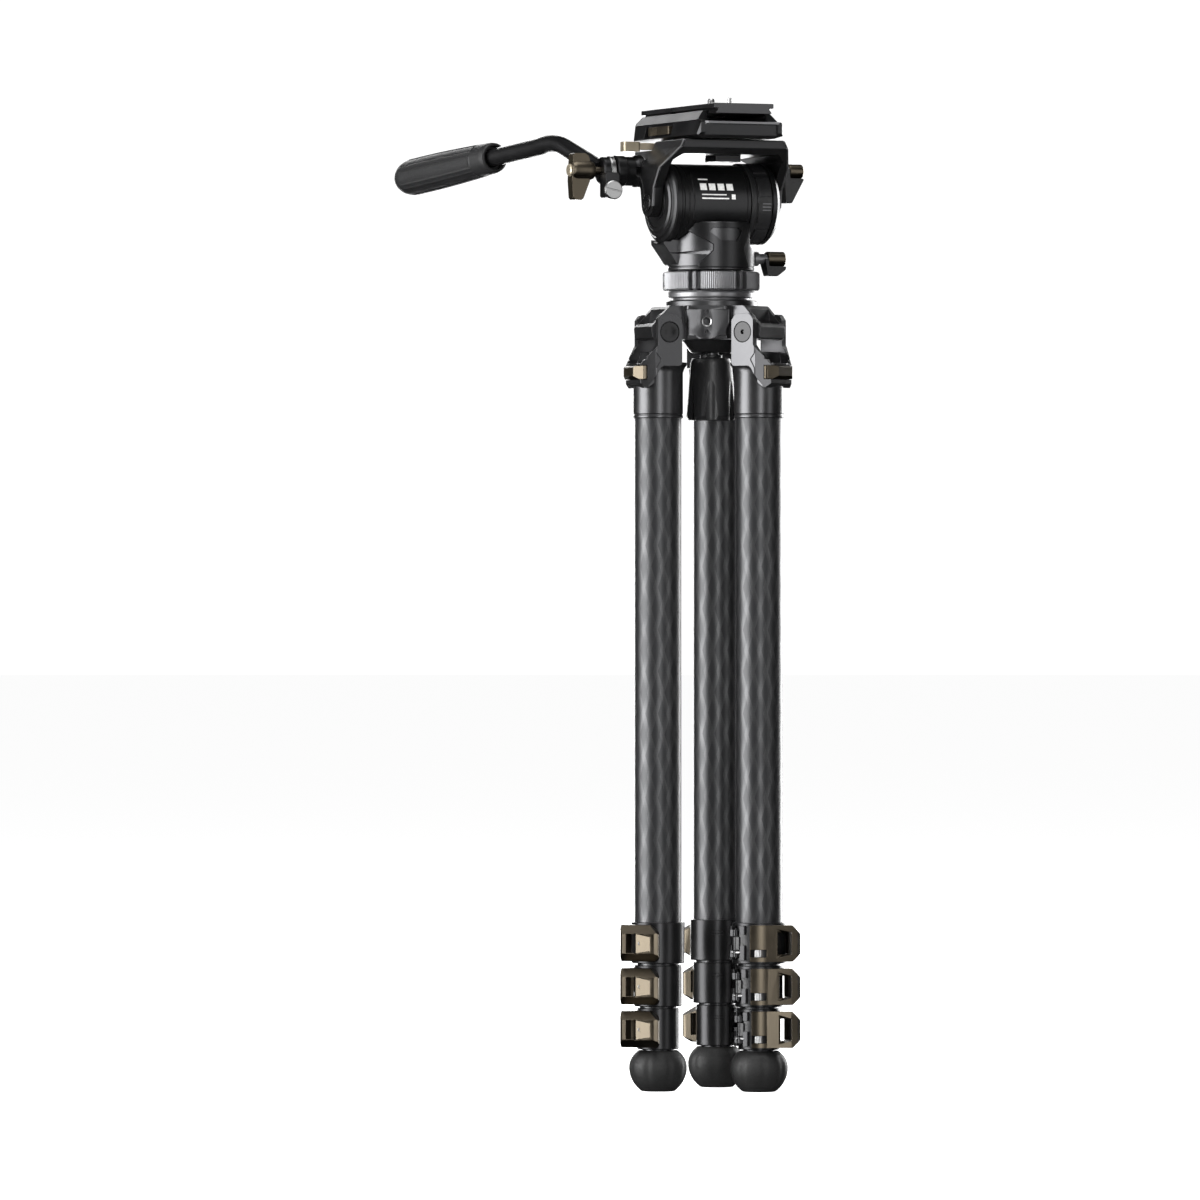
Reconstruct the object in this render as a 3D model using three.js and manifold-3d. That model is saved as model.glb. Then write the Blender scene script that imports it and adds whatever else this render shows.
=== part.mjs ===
// Folded three-leg camera tripod with a fluid head. Millimetres, +Z up, lens side toward -Y.
import * as THREE from "three";
import { mergeVertices } from "three/addons/utils/BufferGeometryUtils.js";
import Module from "manifold-3d";

const wasm = await Module();
wasm.setup();

// ---- driving dimensions -------------------------------------------------------------------
const AXIS_X = 28; // pan axis in the finished frame, so that the box centre is the origin
const AXIS_Y = -127;
const GAP = 0.4; // running clearance between neighbouring pieces

// legs
const LEG_ANGLES = [180, 300, 60];
const LEG_RADIUS = 45; // pan axis to leg axis when folded
const PIVOT_Z = 583;
const TUBE_RADII = [18, 16, 14, 12];
const TUBE_WALL = 1.4;
const TUBE_BOTTOMS = [118, 86, 53, 14];
const TUBE_TOPS = [540, 506, 474, 442];
const TUBE_SIDES = 16;
const LOCK_RADII = [20.5, 18.3, 16];
const LOCK_BOTTOMS = [98.5, 65.3, 32.4];
const LOCK_HEIGHT = 31.6;
const LEVER_HEIGHT = 28;
const LEVER_BAND = 3;
const LEVER_START = -92; // degrees round the leg, measured from its outward side
const LEVER_PIN = -104;
const PIN_OFFSET = 2.6; // hinge axis outside the lock body
const TAB_TIP = 33.5;
const FOOT_RADIUS = 22.3;
const FOOT_HEIGHT = 31.4;
const FOOT_FLAT = 12.5;

// leg casting and hub
const COLLAR_RADIUS = 19.2;
const COLLAR_BOTTOM = 517;
const CHEEK_IN = 16.9;
const CHEEK_OUT = 22.2;
const LUG_HALF = 16.5;
const SWING_RADIUS = 16.4; // room for the yoke's cheeks as the leg spreads
const HUB_BOTTOM = 578;
const HUB_TOP = 603.5;
const PORT_FACE = 36; // pan axis to the flat accessory faces
const PORT_Z = 591;
const BALL_Z = 612;
const BALL_RADIUS = 30;

// head
const RING_BOTTOM = 615.7;
const RING_TOP = 630.3;
const RING_RADIUS = 37.4;
const TILT_Z = 683;
const BARREL_RADIUS = 30;
const BARREL_CAP = 31.3;
const BARREL_HALF = 46;
const DRAG_FROM = 20.8;
const DRAG_TO = 38.2;
const ARM_IN = 46.6;
const ARM_OUT = 54;
const BEAM_BOTTOM = 719.6;
const BEAM_TOP = 730.6;
const BASE_Y = [-56, 71];
const PLATE_Y = [-60, 75.5];
const PLATE_TOP = 757.5;

// pan handle
const HANDLE_Y = 25;
const HANDLE_Z = 708;
const HANDLE_TUBE = 7;
const GRIP_RADIUS = 14.2;
const GRIP_LENGTH = 140;
const HANDLE_YAW = 8; // degrees outward from straight back

// ---- colours ------------------------------------------------------------------------------
const BLACK_METAL = { color: 0x1d1e20, roughness: 0.45, metalness: 0.8 };
const BRONZE = { color: 0x8a7a62, roughness: 0.35, metalness: 0.9 };
const SILVER = { color: 0x9a9da0, roughness: 0.35, metalness: 0.95 };
const CARBON = { color: 0x26282b, roughness: 0.3, metalness: 0.2 };
const RUBBER = { color: 0x1a1a1a, roughness: 0.85, metalness: 0 };
const DARK_PLASTIC = { color: 0x202022, roughness: 0.6, metalness: 0 };

// ---- solids -------------------------------------------------------------------------------
const rad = THREE.MathUtils.degToRad;

function polar(radius, degrees) {
  return [radius * Math.cos(rad(degrees)), radius * Math.sin(rad(degrees))];
}

function toSolid(geometry) {
  const bare = geometry.clone();
  bare.deleteAttribute("normal");
  bare.deleteAttribute("uv");
  const merged = mergeVertices(bare, 1e-4);
  const index = Array.from(merged.index.array);
  const kept = [];
  for (let i = 0; i < index.length; i += 3) {
    const [a, b, c] = index.slice(i, i + 3);
    if (a !== b && b !== c && c !== a) kept.push(a, b, c);
  }
  const mesh = new wasm.Mesh({
    numProp: 3,
    vertProperties: merged.attributes.position.array,
    triVerts: new Uint32Array(kept),
  });
  return new wasm.Manifold(mesh);
}

function toGeometry(solid) {
  const mesh = solid.getMesh();
  const geometry = new THREE.BufferGeometry();
  geometry.setAttribute("position", new THREE.Float32BufferAttribute(mesh.vertProperties, 3));
  geometry.setIndex(Array.from(mesh.triVerts));
  return geometry;
}

function join(...geometries) {
  return toGeometry(geometries.map(toSolid).reduce((whole, piece) => whole.add(piece)));
}

function cut(base, ...tools) {
  return toGeometry(tools.map(toSolid).reduce((whole, tool) => whole.subtract(tool), toSolid(base)));
}

function keep(base, ...tools) {
  return toGeometry(tools.map(toSolid).reduce((whole, tool) => whole.intersect(tool), toSolid(base)));
}

function box([x0, x1], [y0, y1], [z0, z1]) {
  const geometry = new THREE.BoxGeometry(x1 - x0, y1 - y0, z1 - z0);
  return geometry.translate((x0 + x1) / 2, (y0 + y1) / 2, (z0 + z1) / 2);
}

function prism(points, depth) {
  const shape = new THREE.Shape(points.map(([x, y]) => new THREE.Vector2(x, y)));
  return new THREE.ExtrudeGeometry(shape, { depth, bevelEnabled: false });
}

// outline in (x, y), standing between two heights
function prismZ(points, z0, z1) {
  return prism(points, z1 - z0).translate(0, 0, z0);
}

// outline in (y, z), running between two x positions
function prismX(points, x0, x1) {
  const turn = new THREE.Matrix4().set(0, 0, 1, 0, 1, 0, 0, 0, 0, 1, 0, 0, 0, 0, 0, 1);
  return prism(points, x1 - x0).applyMatrix4(turn).translate(x0, 0, 0);
}

// outline in (x, z), running between two y positions
function prismY(points, y0, y1) {
  const turn = new THREE.Matrix4().set(0, 1, 0, 0, 0, 0, 1, 0, 1, 0, 0, 0, 0, 0, 0, 1);
  const swapped = points.map(([x, z]) => [z, x]).reverse();
  return prism(swapped, y1 - y0).applyMatrix4(turn).translate(0, y0, 0);
}

// profile of (radius, height) pairs turned about the Z axis
function lathe(profile, sides = TUBE_SIDES) {
  const points = profile.map(([r, z]) => new THREE.Vector2(r, z));
  return new THREE.LatheGeometry(points, sides).rotateX(Math.PI / 2);
}

// the same, turned about an axis along X through (y, z)
function latheX(profile, y, z, sides = TUBE_SIDES) {
  return lathe(profile, sides).rotateY(Math.PI / 2).translate(0, y, z);
}

function rodZ(radius, z0, z1, x = 0, y = 0, sides = TUBE_SIDES) {
  return lathe([[0, z0], [radius, z0], [radius, z1], [0, z1]], sides).translate(x, y, 0);
}

function rodX(radius, x0, x1, y, z, sides = TUBE_SIDES) {
  return latheX([[0, x0], [radius, x0], [radius, x1], [0, x1]], y, z, sides);
}

function rodY(radius, y0, y1, x, z, sides = TUBE_SIDES) {
  const rod = lathe([[0, -y1], [radius, -y1], [radius, -y0], [0, -y0]], sides);
  return rod.rotateX(Math.PI / 2).translate(x, 0, z);
}

// ---- one leg, standing on the +X side of the pan axis ---------------------------------------
function legTube(n) {
  const outer = TUBE_RADII[n];
  const inner = outer - TUBE_WALL;
  const [z0, z1] = [TUBE_BOTTOMS[n], TUBE_TOPS[n]];
  const profile = [[inner, z0], [outer, z0], [outer, z1], [inner, z1], [inner, z0]];
  return lathe(profile).translate(LEG_RADIUS, 0, 0);
}

function pinPosition(n) {
  return polar(LOCK_RADII[n] + PIN_OFFSET, LEVER_PIN);
}

function lockBody(n) {
  const z0 = LOCK_BOTTOMS[n];
  const z1 = z0 + LOCK_HEIGHT;
  const r = LOCK_RADII[n];
  const held = TUBE_RADII[n] + GAP;
  const sliding = TUBE_RADII[n + 1] + GAP;
  const seat = TUBE_BOTTOMS[n] - GAP;
  const profile = [
    [sliding, z0], [r - 0.8, z0], [r, z0 + 0.8], [r, z1 - 0.8], [r - 0.8, z1],
    [held, z1], [held, seat], [sliding, seat], [sliding, z0],
  ];
  const [px, py] = pinPosition(n);
  const middle = (z0 + z1) / 2;
  const knuckles = [-8, 8].map((dz) => {
    const block = box([px - 5.2, px + 0.6], [py - 0.8, py + 6.5], [middle + dz - 2.5, middle + dz + 2.5]);
    const clear = rodZ(held + 0.5, z0, z1);
    return cut(join(block, rodZ(2.6, middle + dz - 2.5, middle + dz + 2.5, px, py, 12)), clear);
  });
  return join(lathe(profile), ...knuckles).translate(LEG_RADIUS, 0, 0);
}

// plan outline of a lever: band round the body, then the finger tab standing off it
function leverOutline(n) {
  const inner = LOCK_RADII[n] + GAP;
  const outer = inner + LEVER_BAND;
  const steps = 10;
  const bandEnd = 4;
  const points = [];
  for (let i = 0; i <= steps; i++) {
    points.push(polar(outer, LEVER_START + ((bandEnd - LEVER_START) * i) / steps));
  }
  points.push([TAB_TIP - 2, 1.5], [TAB_TIP, 3.5], [TAB_TIP, 7.5], [15.5, 26.5], [12.5, 27.5]);
  points.push([10.5, 26.5], polar(inner + 0.6, 66));
  for (let i = steps; i >= 0; i--) {
    points.push(polar(inner + 0.15, LEVER_START + ((60 - LEVER_START) * i) / steps));
  }
  return points;
}

function lockLever(n) {
  const middle = LOCK_BOTTOMS[n] + LOCK_HEIGHT / 2;
  const [z0, z1] = [middle - LEVER_HEIGHT / 2, middle + LEVER_HEIGHT / 2];
  const [px, py] = pinPosition(n);
  const side = [
    [-40, z0], [24, z0], [TAB_TIP + 0.1, z0 + 5], [TAB_TIP + 0.1, z1 - 5], [24, z1], [-40, z1],
  ];
  const band = keep(prismZ(leverOutline(n), z0, z1), prismY(side, -40, 40));
  const slot = box([24.2, 30.4], [-6, 30], [middle - 8.5, middle + 8.5]);
  const clearances = [-8, 8].map((dz) => {
    return rodZ(3.6, middle + dz - 2.9, middle + dz + 2.9, px, py, 12);
  });
  const barrel = rodZ(2.6, middle - 5.1, middle + 5.1, px, py, 12);
  const link = box([px, px + 6.5], [py - 2.6, py + 0.9], [middle - 5.1, middle + 5.1]);
  return cut(join(band, barrel, link), slot, ...clearances).translate(LEG_RADIUS, 0, 0);
}

function foot() {
  const bore = TUBE_RADII[3] + GAP;
  const centre = 18.5;
  const profile = [[0, 0], [FOOT_FLAT, 0]];
  for (let i = 1; i <= 6; i++) {
    const angle = -51 + (i * 96) / 6;
    const r = Math.min(FOOT_RADIUS, FOOT_RADIUS * Math.cos(rad(angle)) * 1.02);
    profile.push([r, centre + FOOT_RADIUS * Math.sin(rad(angle)) * 0.82]);
  }
  profile.push([15, FOOT_HEIGHT], [bore, FOOT_HEIGHT], [bore, TUBE_BOTTOMS[3] - GAP]);
  profile.push([0, TUBE_BOTTOMS[3] - GAP]);
  return lathe(profile).translate(LEG_RADIUS, 0, 0);
}

function legYoke() {
  const collar = rodZ(COLLAR_RADIUS, COLLAR_BOTTOM, 552, LEG_RADIUS);
  const shoulder = lathe([[0, 548], [COLLAR_RADIUS, 548], [CHEEK_OUT, 556], [CHEEK_OUT, 560], [0, 560]]);
  const cheekSide = [
    [35, 552], [35, 592], [38.5, 597], [51.5, 597], [54.8, 592], [54.8, 572], [66, 558],
    [66, 545], [60, 540], [40, 552],
  ];
  const cheeks = [-1, 1].map((side) => {
    const ends = [side * CHEEK_IN, side * CHEEK_OUT].sort((a, b) => a - b);
    return prismY(cheekSide, ...ends);
  });
  const bridgeSide = [[58, 540], [64, 540], [66, 545], [66, 558], [63, 562], [58, 562]];
  const bridge = prismY(bridgeSide, -CHEEK_IN - 1, CHEEK_IN + 1);
  const whole = join(collar, shoulder.translate(LEG_RADIUS, 0, 0), ...cheeks, bridge);
  const bore = rodZ(TUBE_RADII[0] + GAP, COLLAR_BOTTOM - 1, TUBE_TOPS[0] + GAP, LEG_RADIUS);
  const pocket = box([60, 70], [-12.4, 12.4], [546.6, 557.4]);
  const pin = rodY(5, -30, 30, LEG_RADIUS, PIVOT_Z, 12);
  const heads = [rodY(8.2, -30, 2.6 - CHEEK_OUT, LEG_RADIUS, PIVOT_Z, 16),
    rodY(8.2, CHEEK_OUT - 2.6, 30, LEG_RADIUS, PIVOT_Z, 16)];
  return cut(whole, bore, pocket, pin, ...heads);
}

function pivotBolt() {
  const shaft = rodY(4.6, -CHEEK_OUT + 1, CHEEK_OUT - 1, LEG_RADIUS, PIVOT_Z, 12);
  const low = rodY(7.8, 0.1 - CHEEK_OUT, 2.2 - CHEEK_OUT, LEG_RADIUS, PIVOT_Z, 16);
  const high = rodY(7.8, CHEEK_OUT - 2.2, CHEEK_OUT - 0.1, LEG_RADIUS, PIVOT_Z, 16);
  const socket = rodY(1.9, -30, 1.6 - CHEEK_OUT, LEG_RADIUS, PIVOT_Z, 6);
  return cut(join(shaft, low, high), socket);
}

function angleTab() {
  const outline = [
    [60.4, -12], [66.5, -12], [70, -9], [70, 9], [66.5, 12], [60.4, 12],
  ];
  const side = [[60, 547], [67, 547], [70.5, 549.5], [70.5, 556], [69, 557], [60, 557]];
  return keep(prismZ(outline, 547, 557), prismY(side, -20, 20));
}

// ---- hub and levelling bowl -----------------------------------------------------------------
function hub() {
  const core = prismZ(hubPlan(), HUB_BOTTOM, HUB_TOP);
  const top = lathe([[0, 602], [35.5, 602], [35.5, 606.6], [34, 608], [0, 608]], 24);
  const lugSide = [[8, HUB_BOTTOM], [50, HUB_BOTTOM - 1], [57, 578], [58, 587], [42, HUB_TOP], [8, HUB_TOP]];
  const lugs = LEG_ANGLES.map((angle) => prismY(lugSide, -LUG_HALF, LUG_HALF).rotateZ(rad(angle)));
  const cuts = [
    sphere(BALL_RADIUS + 1.2, BALL_Z),
    rodZ(13, HUB_BOTTOM - 5, BALL_Z),
  ];
  for (const angle of LEG_ANGLES) {
    const swing = [-1, 1].map((side) => {
      const ends = [side * LUG_HALF, side * 60].sort((a, b) => a - b);
      return rodY(SWING_RADIUS, ...ends, LEG_RADIUS, PIVOT_Z, 12);
    });
    const pin = rodY(5, -20, 20, LEG_RADIUS, PIVOT_Z, 12);
    const window = box([50.5, 70], [-10, 10], [588.5, 610]);
    cuts.push(...[...swing, pin, window].map((tool) => tool.rotateZ(rad(angle))));
    cuts.push(...portHoles().map((tool) => tool.rotateZ(rad(angle + 60))));
  }
  return cut(join(core, top, ...lugs), ...cuts);
}

// hexagon with three accessory flats facing between the legs
function hubPlan() {
  const points = [];
  for (const angle of LEG_ANGLES) {
    const middle = angle - 60;
    const reach = Math.hypot(PORT_FACE, 15);
    const spread = THREE.MathUtils.radToDeg(Math.atan2(15, PORT_FACE));
    points.push({ at: (middle + 720 - spread) % 360, reach });
    points.push({ at: (middle + 720 + spread) % 360, reach });
  }
  points.sort((a, b) => a.at - b.at);
  return points.map(({ at, reach }) => polar(reach, at));
}

function portHoles() {
  return [
    rodX(3.9, PORT_FACE - 7, PORT_FACE + 5, 0, PORT_Z, 12),
    rodX(1.5, PORT_FACE - 4, PORT_FACE + 5, 0, PORT_Z + 7.7, 8),
    rodX(1.5, PORT_FACE - 4, PORT_FACE + 5, 0, PORT_Z - 7.7, 8),
  ];
}

function sphere(radius, z) {
  const profile = [];
  for (let i = 0; i <= 8; i++) {
    const [r, h] = polar(radius, -90 + i * 22.5);
    profile.push([r < 1e-6 ? 0 : r, z + h]);
  }
  return lathe(profile, 24);
}

function halfBall() {
  const profile = [[0, 566], [6, 566], [6, 588], [18, 588]];
  const first = -THREE.MathUtils.radToDeg(Math.acos(18 / BALL_RADIUS));
  for (let i = 1; i <= 4; i++) {
    const [r, h] = polar(BALL_RADIUS, first + (i * (-3.8 - first)) / 4);
    profile.push([r, BALL_Z + h]);
  }
  profile.push([33.6, 610], [33.6, 614.6], [33, 615.3], [24, 615.3], [24, 630.4], [0, 630.4]);
  return lathe(profile, 24);
}

function clampHandle() {
  const profile = [
    [6.4, 576.4], [6.4, 560], [0, 560], [0, 516], [17.5, 516], [19.4, 519], [17.4, 545],
    [15.6, 562], [14.6, 564], [9.5, 564], [9.5, 566.5], [17, 576.4], [6.4, 576.4],
  ];
  const flutes = [0, 60, 120, 180, 240, 300].map((angle) => {
    const scoop = new THREE.ConeGeometry(7, 34, 12).rotateX(Math.PI / 2).rotateY(rad(3));
    return scoop.translate(21.5, 0, 530).rotateZ(rad(angle));
  });
  return cut(lathe(profile, 24), ...flutes);
}

function knurledRing() {
  const bore = 24 + GAP;
  const lobes = 6;
  const plan = [];
  for (let lobe = 0; lobe < lobes; lobe++) {
    const middle = lobe * 60 + 246 + 8.5;
    for (const offset of [-22, -11, 0, 11, 22]) plan.push(polar(RING_RADIUS, middle + offset));
    plan.push(polar(RING_RADIUS - 2.4, middle + 26), polar(RING_RADIUS - 2.4, middle + 34));
  }
  const chamfer = lathe([
    [0, RING_BOTTOM], [RING_RADIUS - 1.6, RING_BOTTOM], [RING_RADIUS + 0.2, RING_BOTTOM + 1.8],
    [RING_RADIUS + 0.2, RING_TOP - 1.8], [RING_RADIUS - 1.6, RING_TOP], [0, RING_TOP],
  ], 48);
  return cut(keep(prismZ(plan, RING_BOTTOM, RING_TOP), chamfer), rodZ(bore, 600, 640, 0, 0, 24));
}

// ---- fluid head -----------------------------------------------------------------------------
function panBase() {
  const neck = keep(rodZ(34, 630.8, 645, 0, 0, 36), box([-40, 27], [-40, 40], [600, 700]));
  const front = [[-34, 636], [34, 636], [34, 645], [31, 664], [27, 667], [-27, 667], [-31, 664], [-34, 645]];
  const sides = [
    [-33, 636], [26, 636], [20, 650], [20, 668], [-29, 668], [-44, 664], [-44, 655], [-39, 648],
  ];
  const cradle = keep(prismX(front, -50, 30), prismY(sides, -40, 40));
  const boss = rodX(7, 20, 33, 0, 641, 16);
  const seat = rodX(BARREL_RADIUS + GAP, -39, 30, 0, TILT_Z, 32);
  const capSeat = rodX(BARREL_CAP + GAP, -60, -38.8, 0, TILT_Z, 32);
  const panel = box([-13, 7], [-40, -30.2], [652, 661]);
  return cut(join(neck, cradle, boss), seat, capSeat, panel);
}

function barrel() {
  const profile = [
    [0, -BARREL_HALF], [26, -BARREL_HALF], [BARREL_CAP, -42.5], [BARREL_CAP, -39.6],
    [BARREL_RADIUS, -39], [BARREL_RADIUS, 20.4], [24, 20.4], [24, 38.6], [BARREL_CAP, 38.6],
    [BARREL_CAP, 42], [27, BARREL_HALF], [0, BARREL_HALF],
  ];
  const body = latheX(profile, 0, TILT_Z, 28);
  const panel = box([-26, 13], [-31.2, -20], [TILT_Z - 15, TILT_Z + 15]);
  return join(body, keep(panel, rodX(BARREL_CAP, -30, 20, 0, TILT_Z, 36)));
}

function dragRing() {
  const bore = 24 + GAP;
  const profile = [
    [bore, DRAG_FROM], [BARREL_CAP, DRAG_FROM], [BARREL_CAP, DRAG_FROM + 4],
    [BARREL_CAP - 1.2, DRAG_FROM + 5], [BARREL_CAP - 1.2, DRAG_TO], [bore, DRAG_TO], [bore, DRAG_FROM],
  ];
  const ribs = [];
  for (let i = 0; i < 9; i++) {
    const rib = box([DRAG_FROM + 4, DRAG_TO], [-6, 6], [BARREL_CAP - 3, BARREL_CAP + 0.1]);
    ribs.push(rib.rotateX(rad(i * 40 + 20)).translate(0, 0, TILT_Z));
  }
  const outer = rodX(BARREL_CAP, DRAG_FROM, DRAG_TO, 0, TILT_Z, 28);
  return join(latheX(profile, 0, TILT_Z, 28), ...ribs.map((rib) => keep(rib, outer)));
}

// arms hang from the beam on both ends of the barrel and carry the tilt pivots
function tiltBracket() {
  const outer = [[-ARM_OUT, 660], [-ARM_OUT, 709], [-45, 724], [-42, BEAM_TOP], [42, BEAM_TOP],
    [45, 724], [ARM_OUT, 709], [ARM_OUT, 660]];
  const inner = [[-ARM_IN, 650], [-ARM_IN, 714.8], [-40, BEAM_BOTTOM], [40, BEAM_BOTTOM],
    [ARM_IN, 714.8], [ARM_IN, 650]];
  const side = [];
  for (let i = 0; i <= 6; i++) {
    const [y, z] = polar(11, 180 + i * 30);
    side.push([y, TILT_Z + z]);
  }
  side.push([13, 694], [24, 709], [33, 716], [43, 724], [43, BEAM_TOP]);
  side.push([-43, BEAM_TOP], [-43, 724], [-33, 716], [-24, 709], [-13, 694]);
  const frame = keep(cut(prismY(outer, -60, 60), prismY(inner, -70, 70)), prismX(side, -60, 60));
  const block = box([-2, 20], [-26, 8], [715, BEAM_BOTTOM + 1]);
  const rosetteArm = prismY([[-52, 700], [-52, 715], [-44, 721], [-44, 712], [-49, 706]].reverse(), 12, 38);
  const boss = rodX(12, -72, -49, HANDLE_Y, HANDLE_Z, 20);
  const clearance = rodX(BARREL_CAP + 1, -46.6, 46.6, 0, TILT_Z, 36);
  const leverPocket = box([-60, -24], [11, 60], [723.6, 740]);
  const screwBore = rodX(3.4, -80, -60, HANDLE_Y, HANDLE_Z, 12);
  return cut(join(frame, block, rosetteArm, boss), clearance, leverPocket, screwBore);
}

function quickReleaseBase() {
  const section = [
    [-29.3, 731.2], [29.3, 731.2], [36.5, 733.5], [33.5, 745], [27.5, 752.2], [22.4, 752.2],
    [24.8, 749], [24.8, 744.5], [-24.8, 744.5], [-24.8, 749], [-22.4, 752.2], [-27.5, 752.2],
    [-33.5, 745], [-36.5, 733.5],
  ];
  const [y0, y1] = BASE_Y;
  const side = [
    [y0 + 4, 731], [y1 - 5, 731], [y1, 736], [y1, 746], [y1 - 4, 753], [y0 + 12, 753], [y0 + 8, 744.6],
    [y0, 743.6], [y0, 735],
  ];
  const body = keep(prismY(section, y0, y1), prismX(side, -40, 40));
  const recess = box([-40, -31], [-4, 46], [734, 744.3]);
  const buttonHole = rodX(3.2, 26, 40, -44, 738, 12);
  return cut(body, recess, buttonHole);
}

function cameraPlate() {
  const section = [
    [-25, 753.8], [-20.8, 753.8], [-23.8, 749.8], [23.8, 749.8], [20.8, 753.8], [25, 753.8],
    [25, PLATE_TOP], [-25, PLATE_TOP],
  ];
  const stud = rodZ(1.7, PLATE_TOP - 1, PLATE_TOP + 3.5, 0, -34, 10);
  const body = prismY(section, ...PLATE_Y);
  const screwHole = join(rodZ(3.4, 740, 770, 0, 0, 16), rodZ(7, 740, 753, 0, 0, 16));
  return join(cut(body, screwHole), stud);
}

function cameraScrew() {
  const profile = [[0, 750.4], [6.6, 750.4], [6.6, 752.6], [3, 752.6], [3, 761.4], [2.4, 762.2], [0, 762.2]];
  return cut(lathe(profile, 16), box([-7, 7], [-0.7, 0.7], [749, 751.2]));
}

function releaseLever() {
  const bar = prismZ([[-33, 16], [-27, 17], [-27, 23.5], [-33, 24.5], [-54, 23], [-54, 17.5]], 724.4, 729.6);
  const tab = prismZ([[-54, 15], [-66, 16.5], [-66, 25], [-54, 26]], 722.6, 730.4);
  return join(bar, tab, rodZ(4.6, 724.4, 730.8, -31, 20, 16));
}

function releaseButton() {
  return rodX(2.8, 28, 39, -44, 738, 12);
}

function panLockLever() {
  const stem = rodX(4.6, 33.6, 48, 0, 641, 16);
  const collar = rodX(6, 35, 40, 0, 641, 16);
  const cap = rodX(6.8, 46.5, 62, 0, 641, 20);
  const wing = prismX([[-5, 640], [5, 640], [1, 627.5], [-10, 627.5]], 43.5, 56);
  return join(stem, collar, cap, wing);
}

function tiltLockLever() {
  const stem = rodX(4, ARM_OUT + GAP, 66, 0, 709, 16);
  const cap = rodX(5.6, 64.5, 77.4, 0, 709, 20);
  const wing = prismX([[-5, 708], [5, 708], [3, 684], [-6, 684]], 64.5, 72);
  return join(stem, cap, wing);
}

// ---- pan handle -----------------------------------------------------------------------------
// point a given distance back along the handle, at a height
function alongHandle(distance, z) {
  const x = -80 - distance * Math.sin(rad(HANDLE_YAW));
  return new THREE.Vector3(x, HANDLE_Y + distance * Math.cos(rad(HANDLE_YAW)), z);
}

function handleArm() {
  const rosette = latheX([[0, -83], [9, -83], [10.6, -81.5], [10.6, -72.4], [0, -72.4]], HANDLE_Y, HANDLE_Z, 20);
  const path = new THREE.CurvePath();
  const corners = [alongHandle(4, 709), alongHandle(62, 730), alongHandle(74, 732.6),
    alongHandle(86, 731), alongHandle(250, 717)];
  const bend = new THREE.QuadraticBezierCurve3(corners[1], corners[2], corners[3]);
  path.add(new THREE.LineCurve3(corners[0], corners[1]));
  path.add(bend);
  path.add(new THREE.LineCurve3(corners[3], corners[4]));
  const ring = new THREE.Shape(new THREE.EllipseCurve(0, 0, HANDLE_TUBE, HANDLE_TUBE).getPoints(12));
  const tube = new THREE.ExtrudeGeometry(ring, { steps: 14, extrudePath: path, bevelEnabled: false });
  const ear = prismY([[-84, 708], [-72.6, 708], [-72.6, 689], [-76, 685.5], [-84, 687]].reverse(), 10, 22);
  const disc = rodY(7.2, 7.4, 11, -78.6, 692.6, 16);
  const body = join(tube, cut(join(rosette, ear), rodX(12.4, -74, -60, HANDLE_Y, HANDLE_Z, 20)), disc);
  return cut(body, rodX(3.4, -90, -60, HANDLE_Y, HANDLE_Z, 12));
}

function handleGrip() {
  const start = alongHandle(160, 724.6);
  const end = alongHandle(160 + GRIP_LENGTH, 712.6);
  const length = start.distanceTo(end);
  const bore = HANDLE_TUBE + GAP;
  const r = GRIP_RADIUS;
  const profile = [
    [bore, 0], [r - 2.2, 0], [r - 0.6, 3], [r, 30], [r, length - 34], [r - 1.6, length - 12],
    [r - 5.2, length - 3], [r - 9.5, length], [0, length], [0, 96], [bore, 96], [bore, 0],
  ];
  const turn = new THREE.Quaternion().setFromUnitVectors(
    new THREE.Vector3(0, 0, 1), end.clone().sub(start).normalize());
  return lathe(profile, 20).applyQuaternion(turn).translate(start.x, start.y, start.z);
}

function handleKnob() {
  const screw = rodX(3, -92, -66, HANDLE_Y, HANDLE_Z, 12);
  const hubPiece = latheX([[0, -108], [6.4, -108], [8, -105], [8, -92], [6.5, -88.8], [0, -88.8]],
    HANDLE_Y, HANDLE_Z, 16);
  const wing = [[-107, 721], [-95, 721], [-93, 716], [-93, 700], [-99, 685], [-107, 685], [-108, 700]];
  return join(screw, hubPiece, prismY(wing, HANDLE_Y - 4.5, HANDLE_Y + 4.5));
}

// ---- assembly -------------------------------------------------------------------------------
const tripod = new THREE.Group();
tripod.name = "tripod_with_fluid_head";

function place(name, geometry, finish, turn = 0) {
  const shape = geometry.clone().rotateZ(rad(turn)).translate(AXIS_X, AXIS_Y, 0);
  shape.computeVertexNormals();
  const mesh = new THREE.Mesh(shape, new THREE.MeshStandardMaterial(finish));
  mesh.name = name;
  tripod.add(mesh);
}

function placeLegs() {
  const shared = { yoke: legYoke(), bolt: pivotBolt(), tab: angleTab(), foot: foot() };
  const tubes = TUBE_RADII.map((_, n) => legTube(n));
  const bodies = LOCK_RADII.map((_, n) => lockBody(n));
  const levers = LOCK_RADII.map((_, n) => lockLever(n));
  LEG_ANGLES.forEach((angle, i) => {
    const leg = `leg_${i + 1}`;
    place(`${leg}_yoke`, shared.yoke, BLACK_METAL, angle);
    place(`${leg}_pivot_bolt`, shared.bolt, BLACK_METAL, angle);
    place(`${leg}_angle_tab`, shared.tab, BRONZE, angle);
    tubes.forEach((tube, n) => place(`${leg}_tube_${n + 1}`, tube, CARBON, angle));
    bodies.forEach((body, n) => place(`${leg}_lock_body_${n + 1}`, body, BLACK_METAL, angle));
    levers.forEach((lever, n) => place(`${leg}_lock_lever_${n + 1}`, lever, BRONZE, angle));
    place(`${leg}_foot`, shared.foot, RUBBER, angle);
  });
}

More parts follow.
